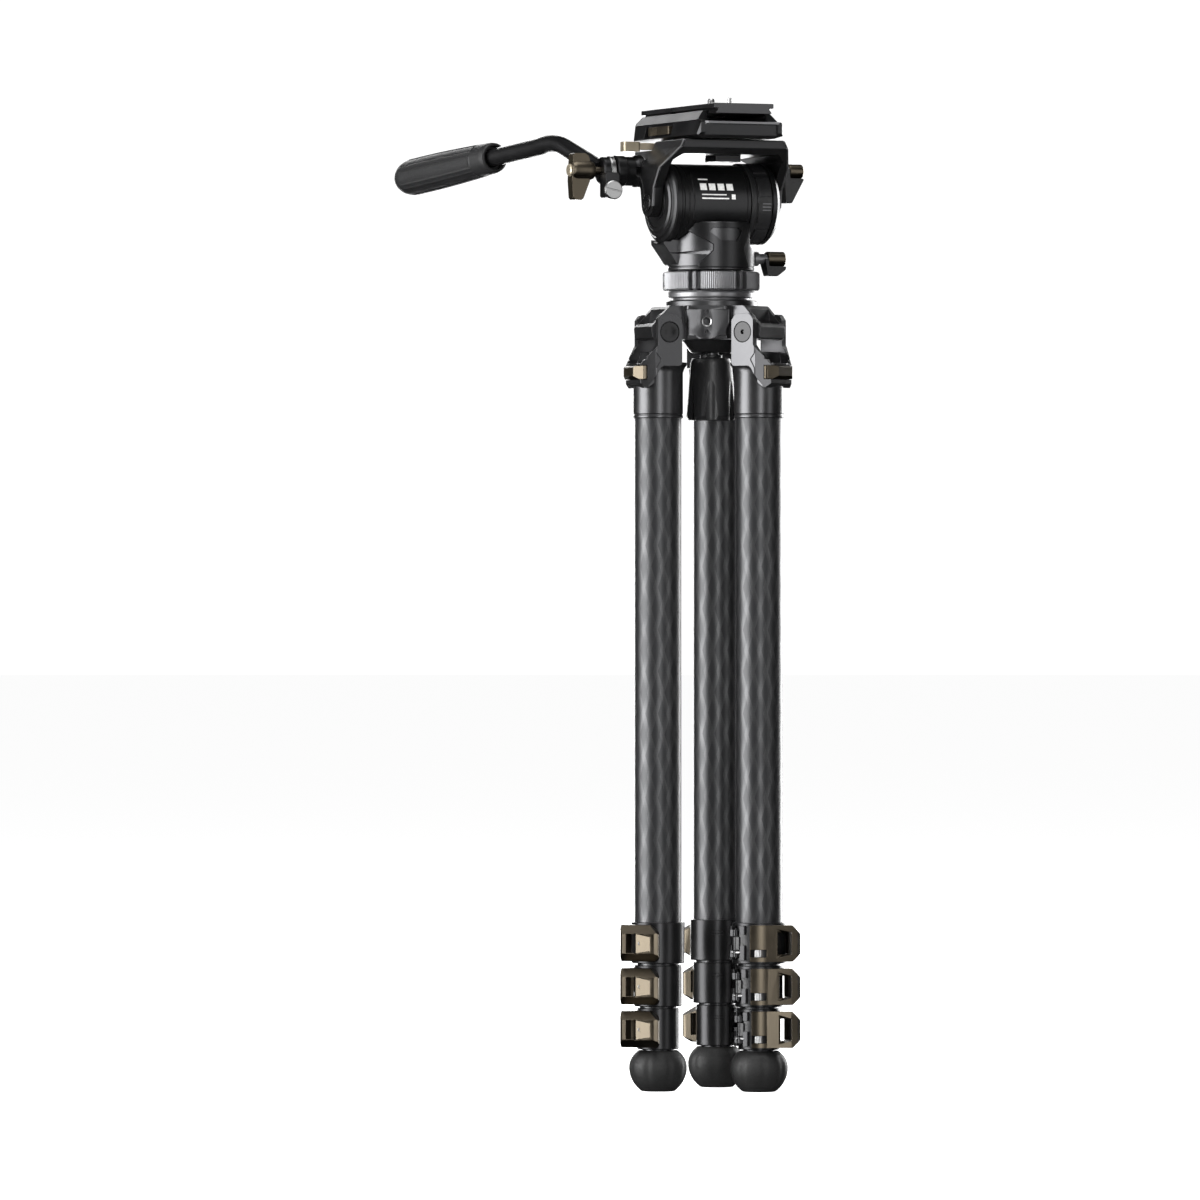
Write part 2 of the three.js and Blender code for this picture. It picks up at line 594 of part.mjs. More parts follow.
placeLegs();
place("hub", hub(), BLACK_METAL);
place("half_ball", halfBall(), BLACK_METAL);
place("clamp_handle", clampHandle(), DARK_PLASTIC);
place("knurled_ring", knurledRing(), SILVER);
place("pan_base", panBase(), BLACK_METAL);
place("pan_lock_lever", panLockLever(), BRONZE);
place("fluid_barrel", barrel(), BLACK_METAL);
place("drag_ring", dragRing(), DARK_PLASTIC);
place("tilt_bracket", tiltBracket(), BLACK_METAL);
place("tilt_lock_lever", tiltLockLever(), BRONZE);
place("quick_release_base", quickReleaseBase(), BLACK_METAL);
place("release_lever", releaseLever(), BRONZE);
place("release_button", releaseButton(), BRONZE);
place("camera_plate", cameraPlate(), BLACK_METAL);
place("camera_screw", cameraScrew(), SILVER);
place("handle_arm", handleArm(), BLACK_METAL);
place("handle_grip", handleGrip(), RUBBER);
place("handle_knob", handleKnob(), BRONZE);

export default tripod;
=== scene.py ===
"""Looks for the folded tripod with a fluid head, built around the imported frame."""

import math

import bmesh
import bpy
from mathutils import Matrix, Vector


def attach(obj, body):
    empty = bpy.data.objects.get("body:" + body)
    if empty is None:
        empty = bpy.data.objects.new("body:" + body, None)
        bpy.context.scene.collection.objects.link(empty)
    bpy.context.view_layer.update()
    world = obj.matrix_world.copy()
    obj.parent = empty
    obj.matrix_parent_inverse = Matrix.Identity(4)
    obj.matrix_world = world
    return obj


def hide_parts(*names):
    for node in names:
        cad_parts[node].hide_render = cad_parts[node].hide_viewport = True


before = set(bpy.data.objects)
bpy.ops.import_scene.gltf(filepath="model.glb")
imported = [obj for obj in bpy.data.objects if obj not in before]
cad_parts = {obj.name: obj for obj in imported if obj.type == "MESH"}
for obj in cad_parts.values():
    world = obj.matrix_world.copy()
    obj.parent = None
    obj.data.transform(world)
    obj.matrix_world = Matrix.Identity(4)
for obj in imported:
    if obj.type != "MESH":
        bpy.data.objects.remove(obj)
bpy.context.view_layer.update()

# ---- dimensions, in millimetres about the pan axis ----
PAN_AXIS = Vector((28, -127, 0))
LEG_ANGLES = (180, 300, 60)
FACE_ANGLES = (0, 120, 240)
LEG_X = 45
PIVOT_Z = 583
TUBE_RADII = (18, 16, 14, 12)
TUBE_WALL = 1.4
TUBE_BOTTOMS = (118, 86, 53, 14)
TUBE_TOPS = (540, 506, 474, 442)
FIT = 0.25
LOCK_RADII = (20.5, 18.3, 16)
LOCK_BOTTOMS = (98.5, 65.3, 32.4)
LOCK_HEIGHT = 31.6
PIN_ANGLE = -104
PIN_OFFSET = 2.6
LUG_RISE = 8
SCREW_ANGLE = -56
LEVER_HALF = 14
LOOP_START = (30.4, -0.6)
FACE_START = (33.5, 7.6)
CHEEK_IN = 16.9
CHEEK_OUT = 22.2
LUG_HALF = 16.5
HUB_TOP = 603.5
PORT_FACE = 36
PORT_Z = 591
BALL_Z = 612
RING_BOTTOM = 615.7
RING_TOP = 630.3
RING_RADIUS = 37.4
RING_BORE = 24.5
TILT_Z = 683
BARREL_RADIUS = 30
CAP_RADIUS = 31.3
ARM_IN = 46.6
ARM_OUT = 54
BEAM_BOTTOM = 719.6
BEAM_TOP = 730.6
PLATE_TOP = 757.5
PAD_X = 15.5
HANDLE_Y = 25
HANDLE_Z = 708
HANDLE_YAW = 8
SIDES = 96


# ---- outlines ----
def sine(degrees):
    return math.sin(math.radians(degrees))


def cosine(degrees):
    return math.cos(math.radians(degrees))


def polar(radius, degrees):
    return radius * cosine(degrees), radius * sine(degrees)


def arc(radius, first, last, steps, rise=0):
    """Points round a circle whose centre lies rise up the second axis."""
    turned = [polar(radius, first + (last - first) * i / steps) for i in range(steps + 1)]
    return [(x, y + rise) for x, y in turned]


def bend(first, corner, last, steps):
    """Points on a curve that leaves first and reaches last in line with the corner."""
    points = []
    for i in range(steps + 1):
        s = i / steps
        points.append((1 - s) ** 2 * first + 2 * s * (1 - s) * corner + s * s * last)
    return points


def fillet(points, radius, closed=True, steps=4):
    """The same outline with its corners rounded."""
    out = []
    last = len(points) - 1
    for i, point in enumerate(points):
        here = Vector(point)
        if radius <= 0 or (not closed and i in (0, last)):
            out.append(here)
            continue
        back = Vector(points[i - 1]) - here
        ahead = Vector(points[(i + 1) % len(points)]) - here
        angle = back.angle(ahead, math.pi)
        if angle > math.radians(160):
            out.append(here)
            continue
        reach = min(radius / math.tan(angle / 2), 0.45 * back.length, 0.45 * ahead.length)
        out += bend(here + back.normalized() * reach, here, here + ahead.normalized() * reach, steps)
    return out


# ---- shapes, kept in millimetres until they are placed ----
def to_object(bm):
    bmesh.ops.recalc_face_normals(bm, faces=bm.faces)
    mesh = bpy.data.meshes.new("shape")
    bm.to_mesh(mesh)
    bm.free()
    obj = bpy.data.objects.new("shape", mesh)
    bpy.context.scene.collection.objects.link(obj)
    return obj


def move(obj, x=0, y=0, z=0):
    obj.data.transform(Matrix.Translation((x, y, z)))
    return obj


def turn(obj, degrees, axis="Z", centre=(0, 0, 0)):
    spin = Matrix.Rotation(math.radians(degrees), 4, axis)
    there = Matrix.Translation(centre)
    obj.data.transform(there @ spin @ there.inverted())
    return obj


def mirror(obj, x=1, y=1):
    obj.data.transform(Matrix.Diagonal((x, y, 1, 1)))
    obj.data.flip_normals()
    return obj


def bridge(bm, rings):
    """Joins each ring of points to the next one with faces."""
    for low, high in zip(rings, rings[1:]):
        for i in range(len(low)):
            j = (i + 1) % len(low)
            bm.faces.new([low[i], low[j], high[j], high[i]])


def lathe(profile, sides=SIDES, soft=0.4, swell=None):
    """Turns (radius, height) points about Z. swell(angle, height) scales the radius."""
    closed = profile[0][0] > 0
    points = fillet(profile, soft, closed)
    bm = bmesh.new()
    uv = bm.loops.layers.uv.new("around")
    rings = []
    for r, z in points:
        if r < 1e-6:
            rings.append([bm.verts.new((0, 0, z))])
            continue
        ring = []
        for i in range(sides):
            scale = swell(360 * i / sides, z) if swell else 1
            x, y = polar(r * scale, 360 * i / sides)
            ring.append(bm.verts.new((x, y, z)))
        rings.append(ring)
    if closed:
        rings.append(rings[0])
    for low, high in zip(rings, rings[1:]):
        if len(low) == len(high) == 1:
            continue
        for i in range(sides):
            j = (i + 1) % sides
            corners = [low[i % len(low)], low[j % len(low)], high[j % len(high)], high[i % len(high)]]
            spots = (i, i + 1, i + 1, i)
            kept = [k for k in range(4) if corners[k] not in corners[:k]]
            face = bm.faces.new([corners[k] for k in kept])
            for loop, k in zip(face.loops, kept):
                loop[uv].uv = (spots[k] / sides, loop.vert.co.z / 100)
    return to_object(bm)


def prism(outline, low, high, bevel=0.5, corner=0.0):
    """Stands an (x, y) outline between two heights, with bevelled rims."""
    points = fillet(outline, corner) if corner else [Vector(p) for p in outline]
    bm = bmesh.new()
    base = [bm.verts.new((p[0], p[1], low)) for p in points]
    top = [bm.verts.new((p[0], p[1], high)) for p in points]
    caps = [bm.faces.new(base[::-1]), bm.faces.new(top)]
    bridge(bm, [base, top])
    if bevel:
        rims = {edge for cap in caps for edge in cap.edges}
        bmesh.ops.bevel(bm, geom=list(rims), offset=bevel, segments=2, profile=0.6,
                        affect="EDGES", clamp_overlap=True)
    return to_object(bm)


def prism_x(outline, low, high, bevel=0.5, corner=0.0):
    """The same for a (y, z) outline running along X."""
    obj = prism(outline, low, high, bevel, corner)
    obj.data.transform(Matrix(((0, 0, 1, 0), (1, 0, 0, 0), (0, 1, 0, 0), (0, 0, 0, 1))))
    return obj


def prism_y(outline, low, high, bevel=0.5, corner=0.0):
    """The same for an (x, z) outline running along Y."""
    obj = prism([(z, x) for x, z in outline], low, high, bevel, corner)
    obj.data.transform(Matrix(((0, 1, 0, 0), (0, 0, 1, 0), (1, 0, 0, 0), (0, 0, 0, 1))))
    return obj


def box(xs, ys, zs, bevel=0.3, corner=0.0):
    outline = [(xs[0], ys[0]), (xs[1], ys[0]), (xs[1], ys[1]), (xs[0], ys[1])]
    return prism(outline, zs[0], zs[1], bevel, corner)


def rod(radius, low, high, soft=0.3, sides=48, bore=0):
    return lathe([(bore, low), (radius, low), (radius, high), (bore, high)], sides, soft)


def spindle(profile, sides, soft, swell=None):
    """A lathe shape whose profile runs in to the axis at both ends."""
    return lathe([(0, profile[0][1])] + profile + [(0, profile[-1][1])], sides, soft, swell)


def hull(points):
    bm = bmesh.new()
    for point in points:
        bm.verts.new(point)
    bmesh.ops.convex_hull(bm, input=bm.verts)
    return to_object(bm)


def lying_x(obj, y, z):
    """Lays a shape that was turned about Z along X, through (y, z)."""
    return move(turn(obj, 90, "Y"), 0, y, z)


def lying_y(obj, x, z):
    """Lays a shape that was turned about Z along Y, through (x, z)."""
    return move(turn(obj, -90, "X"), x, 0, z)


def on_pivot(obj):
    return lying_y(obj, LEG_X, PIVOT_Z)


def on_tilt(obj):
    return lying_x(obj, 0, TILT_Z)


def on_joint(obj):
    """Lays a turned shape along the pan handle's joint."""
    return lying_x(obj, HANDLE_Y, HANDLE_Z)


def combine(base, cuts=(), adds=(), keeps=()):
    """Joins, trims and cuts solids, and removes the tools."""
    tools = []
    for operation, group in (("UNION", adds), ("INTERSECT", keeps), ("DIFFERENCE", cuts)):
        for tool in group:
            modifier = base.modifiers.new(operation, "BOOLEAN")
            modifier.operation = operation
            modifier.object = tool
            modifier.solver = "MANIFOLD"
            tools.append(tool)
    bpy.context.view_layer.update()
    graph = bpy.context.evaluated_depsgraph_get()
    mesh = bpy.data.meshes.new_from_object(base.evaluated_get(graph))
    base.modifiers.clear()
    base.data = mesh
    for tool in tools:
        bpy.data.objects.remove(tool)
    return base


def sweep(path, radius, sides=48):
    """A round tube along a list of points."""
    bm = bmesh.new()
    rings = []
    side = Vector((1, 0, 0))
    for i, point in enumerate(path):
        ahead = (path[min(i + 1, len(path) - 1)] - path[max(i - 1, 0)]).normalized()
        side = (side - ahead * side.dot(ahead)).normalized()
        up = ahead.cross(side)
        ring = []
        for k in range(sides):
            x, y = polar(radius, 360 * k / sides)
            ring.append(bm.verts.new(point + side * x + up * y))
        rings.append(ring)
    bridge(bm, rings)
    bm.faces.new(rings[0][::-1])
    bm.faces.new(rings[-1])
    return to_object(bm)


# ---- materials ----
def set_inputs(made, values):
    for name, value in values.items():
        made.inputs[name].default_value = value
    return made


def node(tree, kind, **values):
    """Adds a node. An input's name is given with _ for each space."""
    return set_inputs(tree.nodes.new(kind), {name.replace("_", " "): value for name, value in values.items()})


def new_finish(name, metallic, roughness):
    material = bpy.data.materials.new(name)
    material.use_nodes = True
    shader = material.node_tree.nodes["Principled BSDF"]
    return material, material.node_tree, set_inputs(shader, {"Metallic": metallic, "Roughness": roughness})


def noise(tree, scale, detail=4.0, stretch=(1, 1, 1)):
    place = node(tree, "ShaderNodeTexCoord")
    mapping = node(tree, "ShaderNodeMapping", Scale=stretch)
    texture = node(tree, "ShaderNodeTexNoise", Scale=scale, Detail=detail)
    tree.links.new(place.outputs["Object"], mapping.inputs["Vector"])
    tree.links.new(mapping.outputs["Vector"], texture.inputs["Vector"])
    return texture.outputs["Fac"]


def spread(tree, factor, low, high):
    """Maps the middle of a 0 to 1 pattern onto a range."""
    ranged = node(tree, "ShaderNodeMapRange", From_Min=0.3, From_Max=0.7, To_Min=low, To_Max=high)
    tree.links.new(factor, ranged.inputs["Value"])
    return ranged.outputs["Result"]


def blend_colours(tree, factor, first, second):
    ramp = node(tree, "ShaderNodeValToRGB")
    ramp.color_ramp.elements[0].position = 0.3
    ramp.color_ramp.elements[1].position = 0.7
    ramp.color_ramp.elements[0].color = (*first, 1)
    ramp.color_ramp.elements[1].color = (*second, 1)
    tree.links.new(factor, ramp.inputs["Fac"])
    return ramp.outputs["Color"]


def bump(tree, shader, height, strength, distance, edge=0.0):
    relief = node(tree, "ShaderNodeBump", Strength=strength, Distance=distance)
    tree.links.new(height, relief.inputs["Height"])
    if edge:
        rounding = node(tree, "ShaderNodeBevel", Radius=edge)
        rounding.samples = 4
        tree.links.new(rounding.outputs["Normal"], relief.inputs["Normal"])
    tree.links.new(relief.outputs["Normal"], shader.inputs["Normal"])


def worn_metal(name, dark, light, metallic, roughness, grain=900.0, stretch=(1, 1, 1)):
    """Blasted and anodised metal: fine grain, faint handling marks and rounded edges."""
    material, tree, shader = new_finish(name, metallic, roughness)
    fine = noise(tree, grain, 3.0, stretch)
    broad = noise(tree, 35.0, 5.0)
    tree.links.new(blend_colours(tree, broad, dark, light), shader.inputs["Base Color"])
    tree.links.new(spread(tree, broad, roughness * 0.85, roughness * 1.15), shader.inputs["Roughness"])
    bump(tree, shader, fine, 0.12, 0.0002, 0.0004)
    return material


def matte_rubber(name, dark, light, roughness, grain=700.0):
    material, tree, shader = new_finish(name, 0.0, roughness)
    fine = noise(tree, grain, 6.0)
    broad = noise(tree, 25.0, 4.0)
    tree.links.new(blend_colours(tree, broad, dark, light), shader.inputs["Base Color"])
    tree.links.new(spread(tree, fine, roughness - 0.1, roughness + 0.08), shader.inputs["Roughness"])
    set_inputs(shader, {"Specular IOR Level": 0.35})
    bump(tree, shader, fine, 0.35, 0.0003, 0.0005)
    return material


def carbon_weave(name):
    """Lacquered carbon fibre: long diamonds over a fine cross weave."""
    material, tree, shader = new_finish(name, 0.75, 0.36)
    place = node(tree, "ShaderNodeTexCoord")
    parts = node(tree, "ShaderNodeSeparateXYZ")
    tree.links.new(place.outputs["UV"], parts.inputs["Vector"])
    across, along = parts.outputs["X"], parts.outputs["Y"]

    def work(operation, first, second=0.0):
        step = node(tree, "ShaderNodeMath")
        step.operation = operation
        for socket, value in zip(step.inputs, (first, second)):
            if isinstance(value, (int, float)):
                socket.default_value = value
            else:
                tree.links.new(value, socket)
        return step.outputs["Value"]

    def stripes(lean):
        around = work("MULTIPLY", across, 60 * 2 * math.pi)
        down = work("MULTIPLY", along, 24 * lean * 2 * math.pi)
        return work("SINE", work("ADD", around, down))

    def diamonds(shift):
        """Rows of long diamonds, each with one slanted half darker than the other."""
        around = work("ADD", work("MULTIPLY", across, 11), shift)
        down = work("MULTIPLY", along, 3.1)
        return work("MAXIMUM", work("FRACT", work("ADD", around, down)),
                    work("FRACT", work("SUBTRACT", around, down)))

    fine = work("MULTIPLY", stripes(1), stripes(-1))
    cloud = noise(tree, 40.0, 3.0, (1, 1, 0.3))
    pattern = work("SUBTRACT", diamonds(0.0), work("MULTIPLY", diamonds(0.37), 0.5))
    soft = work("ADD", work("MULTIPLY", pattern, 0.4), work("MULTIPLY", cloud, 0.4))
    level = work("ADD", work("ADD", soft, work("MULTIPLY", fine, 0.03)), 0.06)
    colour = blend_colours(tree, level, (0.022, 0.0225, 0.024), (0.058, 0.058, 0.06))
    tree.links.new(colour, shader.inputs["Base Color"])
    tree.links.new(spread(tree, level, 0.44, 0.34), shader.inputs["Roughness"])
    set_inputs(shader, {"Coat Weight": 0.25, "Coat Roughness": 0.3})
    bump(tree, shader, fine, 0.04, 0.0002)
    return material


def painted_marks(name):
    material, tree, shader = new_finish(name, 0.0, 0.5)
    worn = noise(tree, 500.0, 5.0)
    colour = blend_colours(tree, worn, (0.55, 0.55, 0.54), (0.75, 0.75, 0.74))
    tree.links.new(colour, shader.inputs["Base Color"])
    bump(tree, shader, worn, 0.1, 0.0001)
    return material


FINISHES = {
    "black": worn_metal("black_anodised", (0.021, 0.021, 0.022), (0.031, 0.031, 0.032), 0.85, 0.33),
    "casting": worn_metal("black_casting", (0.048, 0.048, 0.05), (0.066, 0.066, 0.068), 0.9, 0.32),
    "bolt": worn_metal("black_bolt", (0.008, 0.008, 0.0085), (0.014, 0.014, 0.0145), 0.6, 0.28),
    "bronze": worn_metal("bronze_anodised", (0.078, 0.066, 0.049), (0.104, 0.088, 0.066), 1.0, 0.36,
                         700.0, (1, 1, 0.12)),
    "champagne": worn_metal("champagne_anodised", (0.3, 0.26, 0.19), (0.37, 0.32, 0.24), 0.8, 0.35),
    "grey": worn_metal("grey_anodised", (0.13, 0.13, 0.135), (0.18, 0.18, 0.185), 0.8, 0.38),
    "steel": worn_metal("bright_steel", (0.27, 0.27, 0.27), (0.36, 0.36, 0.36), 1.0, 0.32),
    "carbon": carbon_weave("carbon_weave"),
    "plastic": matte_rubber("black_plastic", (0.006, 0.006, 0.0065), (0.01, 0.01, 0.0105), 0.4),
    "rubber": matte_rubber("foot_rubber", (0.006, 0.006, 0.006), (0.01, 0.01, 0.01), 0.6),
    "grip": matte_rubber("grip_rubber", (0.005, 0.005, 0.0055), (0.009, 0.009, 0.0095), 0.55, 1100.0),
    "marks": painted_marks("pale_marks"),
}


def put(obj, name, body, finish, stands_for=(), around=0):
    """Names a finished shape, moves it into the frame and hangs it on its body."""
    spin = Matrix.Rotation(math.radians(around), 4, "Z")
    obj.data.transform(Matrix.Scale(0.001, 4) @ Matrix.Translation(PAN_AXIS) @ spin)
    obj.name = name
    obj.data.name = name
    obj.data.materials.clear()
    obj.data.materials.append(FINISHES[finish])
    obj.data.shade_smooth()
    obj.data.set_sharp_from_angle(angle=math.radians(33))
    normals = obj.modifiers.new("even_normals", "WEIGHTED_NORMAL")
    normals.keep_sharp = True
    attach(obj, body)
    if stands_for:
        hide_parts(stands_for)


# ---- leg tubes and their locks, made about the axis of the leg ----
def leg_tube(n):
    outer = TUBE_RADII[n]
    return rod(outer, TUBE_BOTTOMS[n], TUBE_TOPS[n], 0.2, SIDES, outer - TUBE_WALL)


def lock_place(n):
    """The radius of a lock and the height of its middle."""
    return LOCK_RADII[n], LOCK_BOTTOMS[n] + LOCK_HEIGHT / 2


def pin_place(n):
    return polar(LOCK_RADII[n] + PIN_OFFSET, PIN_ANGLE)


def lock_body(n):
    """A collar over the end of a tube, with hinge lugs, two fine grooves and a slit."""
    r, middle = lock_place(n)
    low, high = LOCK_BOTTOMS[n], LOCK_BOTTOMS[n] + LOCK_HEIGHT
    held, sliding = TUBE_RADII[n] + FIT, TUBE_RADII[n + 1] + FIT
    seat = TUBE_BOTTOMS[n] - 0.2
    body = lathe([
        (sliding, low), (r - 0.3, low), (r, low + 0.6), (r, high - 0.6), (r - 0.3, high),
        (held, high), (held, seat), (sliding, seat),
    ], SIDES, 0.35)
    px, py = pin_place(n)
    lugs, cuts = [], []
    for dz in (-LUG_RISE, LUG_RISE):
        ends = (middle + dz - 2.5, middle + dz + 2.5)
        lug = box((px - 5.2, px + 0.6), (py - 1.2, py + 6), ends, 0.4, 0.5)
        lugs.append(combine(lug, cuts=[rod(r - 0.6, low, high, 0)], adds=[move(rod(2.6, *ends), px, py)]))
    for dz in (5, 7.2):
        groove = box((r - 0.8, r + 2), (-6.4, 6.4), (middle + dz - 0.45, middle + dz + 0.45), 0)
        cuts.append(turn(groove, 188.5))
    cuts.append(turn(box((sliding + 0.5, r + 2), (-0.6, 0.6), (low - 1, middle + 14), 0), -134))
    return combine(body, adds=lugs, cuts=cuts)


def clamp_blocks(n, angle):
    """A short and a long block beside the hinge, at an angle round the lock."""
    r, middle = lock_place(n)
    blocks = []
    for low, high in ((6.8, 13.4), (-12.8, -1.4)):
        block = box((r + 0.5, r + 4.8), (-2.3, 2.3), (middle + low, middle + high), 0.5, 0.7)
        blocks.append(turn(block, angle))
    return combine(blocks[0], adds=blocks[1:])


def hinge_pin(n):
    middle = lock_place(n)[1]
    return move(rod(1.1, middle - 11.4, middle + 11.4), *pin_place(n))


def on_face(obj):
    """Places a shape drawn along, out of and up the bevelled face of a lever."""
    along, out, start = ((*xy, 0) for xy in ((-0.69, 0.724), (0.724, 0.69), FACE_START))
    obj.data.transform(Matrix.Translation(start) @ Matrix((along, out, (0, 0, 1))).transposed().to_4x4())
    obj.data.flip_normals()
    return obj


def lock_lever(n):
    """A curved clamp that ends in a finger loop with a bevelled face."""
    r, middle = lock_place(n)
    low, high = middle - LEVER_HALF, middle + LEVER_HALF
    outline = arc(r + 3.4, -72, -36, 16)
    outline += [LOOP_START, (33.5, 3.6), FACE_START, (15.6, 26.4), (12.6, 27.5), (10.4, 26.3)]
    outline.append(polar(r + 1, 66))
    outline += arc(r + 0.5, 60, -72, 36)
    face = [(-90, low), (-6.5, low), (0.3, middle - 7.6), (0.3, middle + 7), (-6.8, high), (-90, high)]
    tip = [(-80, low), (24.6, low), (29, low + 3.6), (29, high - 7), (20, high), (-80, high)]
    keeps = [on_face(prism_x(face, -100, 60, 0, 1.2)), on_face(prism_y(tip, -90, 30, 0, 1))]
    return combine(prism(outline, low, high, 0.6), keeps=keeps, cuts=lever_hollows(n))


def lever_hollows(n):
    """The way through the loop, the finger hole and ramp in its face, and the adjuster's recess."""
    r, middle = lock_place(n)
    start = Vector(polar(r + 3.4, -36))
    slope = (LOOP_START[1] - start.y) / (LOOP_START[0] - start.x)

    def wall(x, inward):
        return x, start.y + (x - start.x) * slope + inward

    plan = [
        (r * 0.8, -1), wall(20.4, 4.4), wall(23.3, 1.8), wall(23.6, -6), wall(32, -6), wall(30.4, 0.2),
        (31.2, 2.6), (30.4, 3.8), (20.2, 13.6), (13.5, 19.8), (9.6, 19.8), (8.4, 21.6), (4, 21.6), (8, 8),
    ]
    mouth = [
        (wall(22.4, -1), 12), (wall(23, -7), 13.4), (wall(34, -7), 11), (wall(31.4, -1), 8.6),
        (wall(25, 4.4), 8), (wall(28.6, 4.4), 7),
    ]
    hollows = [
        prism(plan, middle - 8.4, middle + 8.4, 0, 0.8),
        hull([(*point, middle + s * z) for s in (-1, 1) for point, z in mouth]),
    ]
    hole = [(2.6, 0.6, -7.6, 7.4), (10.4, 0.6, -7.6, 7.4), (6.4, -8.2, -7, 7), (10.4, -8.2, -7, 7)]
    ramp = [(9.6, -2, -7.6, 7.4), (9.6, 2, -9.4, 9.2), (22.6, -0.4, -5.6, 5), (23.4, 2, -7, 6.4)]
    for rows in (hole, ramp):
        hollows.append(on_face(hull([(a, out, middle + z) for a, out, *ends in rows for z in ends])))
    recess = box((r - 1, r + 6), (-6.4, 6.4), (middle - 10.6, middle - 4.6), 0)
    return hollows + [turn(recess, SCREW_ANGLE)]


def hinge_end(n):
    """The hinge end of the lever, a real part finished very dark as painted shade over the lever's shadowed
    hinge.
    """
    r, middle = lock_place(n)
    px, py = pin_place(n)
    outline = arc(r + 3, -96, -72, 10) + arc(r + 0.5, -72, -96, 10)
    adds = [box((px, px + 4), (py - 2.2, py + 0.9), (middle - 5.1, middle + 5.1), 0.3),
            move(rod(2.5, middle - 5.1, middle + 5.1), px, py)]
    cuts = [rod(r + 0.5, 0, 200, 0), move(rod(1.35, middle - 6, middle + 6, 0), px, py)]
    for dz in (-LUG_RISE, LUG_RISE):
        cuts.append(move(rod(3.6, middle + dz - 2.9, middle + dz + 2.9, 0), px, py))
    return combine(prism(outline, middle - 13.4, middle + 13.4, 0.3), adds=adds, cuts=cuts)


def clamp_bolt(n):
    r, middle = lock_place(n)
    return turn(lying_y(rod(1.7, -4.6, 4.6, 0.3, 24), r + 3, middle - 7), -101)


def thumb_screw(n):
    """The small ribbed wheel that sets how hard the lever clamps."""
    r, middle = lock_place(n)

    def ribs(angle, _):
        return 1 - 0.13 * (0.5 + 0.5 * cosine(angle * 12))

    wheel = spindle([(3, -2.8), (3, 2.8)], 96, 0.2, ribs)
    screw = combine(move(wheel, r + 0.2, 0, middle - 7.6), cuts=[rod(r + 0.6, 0, 200, 0)])
    return turn(screw, SCREW_ANGLE)


def lever_rivet(n):
    ring = lathe([(0.5, -1), (1.5, -1), (1.5, 0.25), (1.1, 0.35), (0.9, 0.1), (0.5, 0.1)], 32, 0.08)
    return on_face(move(turn(turn(ring, -90, "X"), -13), 13.8, -1.7, lock_place(n)[1]))


def build_lock(leg, n, section, around):
    """One lock on its section, the lever that clamps it and their small parts."""
    lever = f"{leg}_lever_{n + 1}"
    rows = [
        (lock_body(n), "lock", section, "black", f"{leg}_lock_body_{n + 1}"),
        (hinge_pin(n), "hinge_pin", section, "bolt", ()),
        (lock_lever(n), "flip_lever", lever, "bronze", f"{leg}_lock_lever_{n + 1}"),
        # The hinge end's very dark plastic finish is painted shade.
        (hinge_end(n), "hinge_end", lever, "plastic", ()),
        (clamp_blocks(n, -86), "lever_blocks", lever, "black", ()),
        (clamp_blocks(n, -117), "lock_blocks", section, "black", ()),
        (clamp_bolt(n), "clamp_bolt", lever, "steel", ()),
        (thumb_screw(n), "lever_screw", lever, "steel", ()),
        (lever_rivet(n), "lever_rivet", lever, "steel", ()),
    ]
    for shape, name, body, finish, stands_for in rows:
        put(move(shape, LEG_X), f"{leg}_{name}_{n + 1}", body, finish, stands_for, around)


def foot():
    """A rubber ball with faint facets, cut flat below."""
    centre = 18.5
    profile = [(11.8, 0)]
    for i in range(17):
        angle = -55 + i * 99 / 16
        rise = 22.3 if angle < 0 else 17.4
        profile.append((22.3 * cosine(angle), centre + rise * sine(angle)))
    profile += [(15, 31.4), (12.3, 31.4), (12.3, 13.6)]

    def facets(angle, z):
        if z < 1 or z > 31:
            return 1
        return 1 - 0.03 * max(0.0, cosine(angle * 8)) ** 2 * math.sin(math.pi * z / 32)

    return spindle(profile, 128, 0.3, facets)


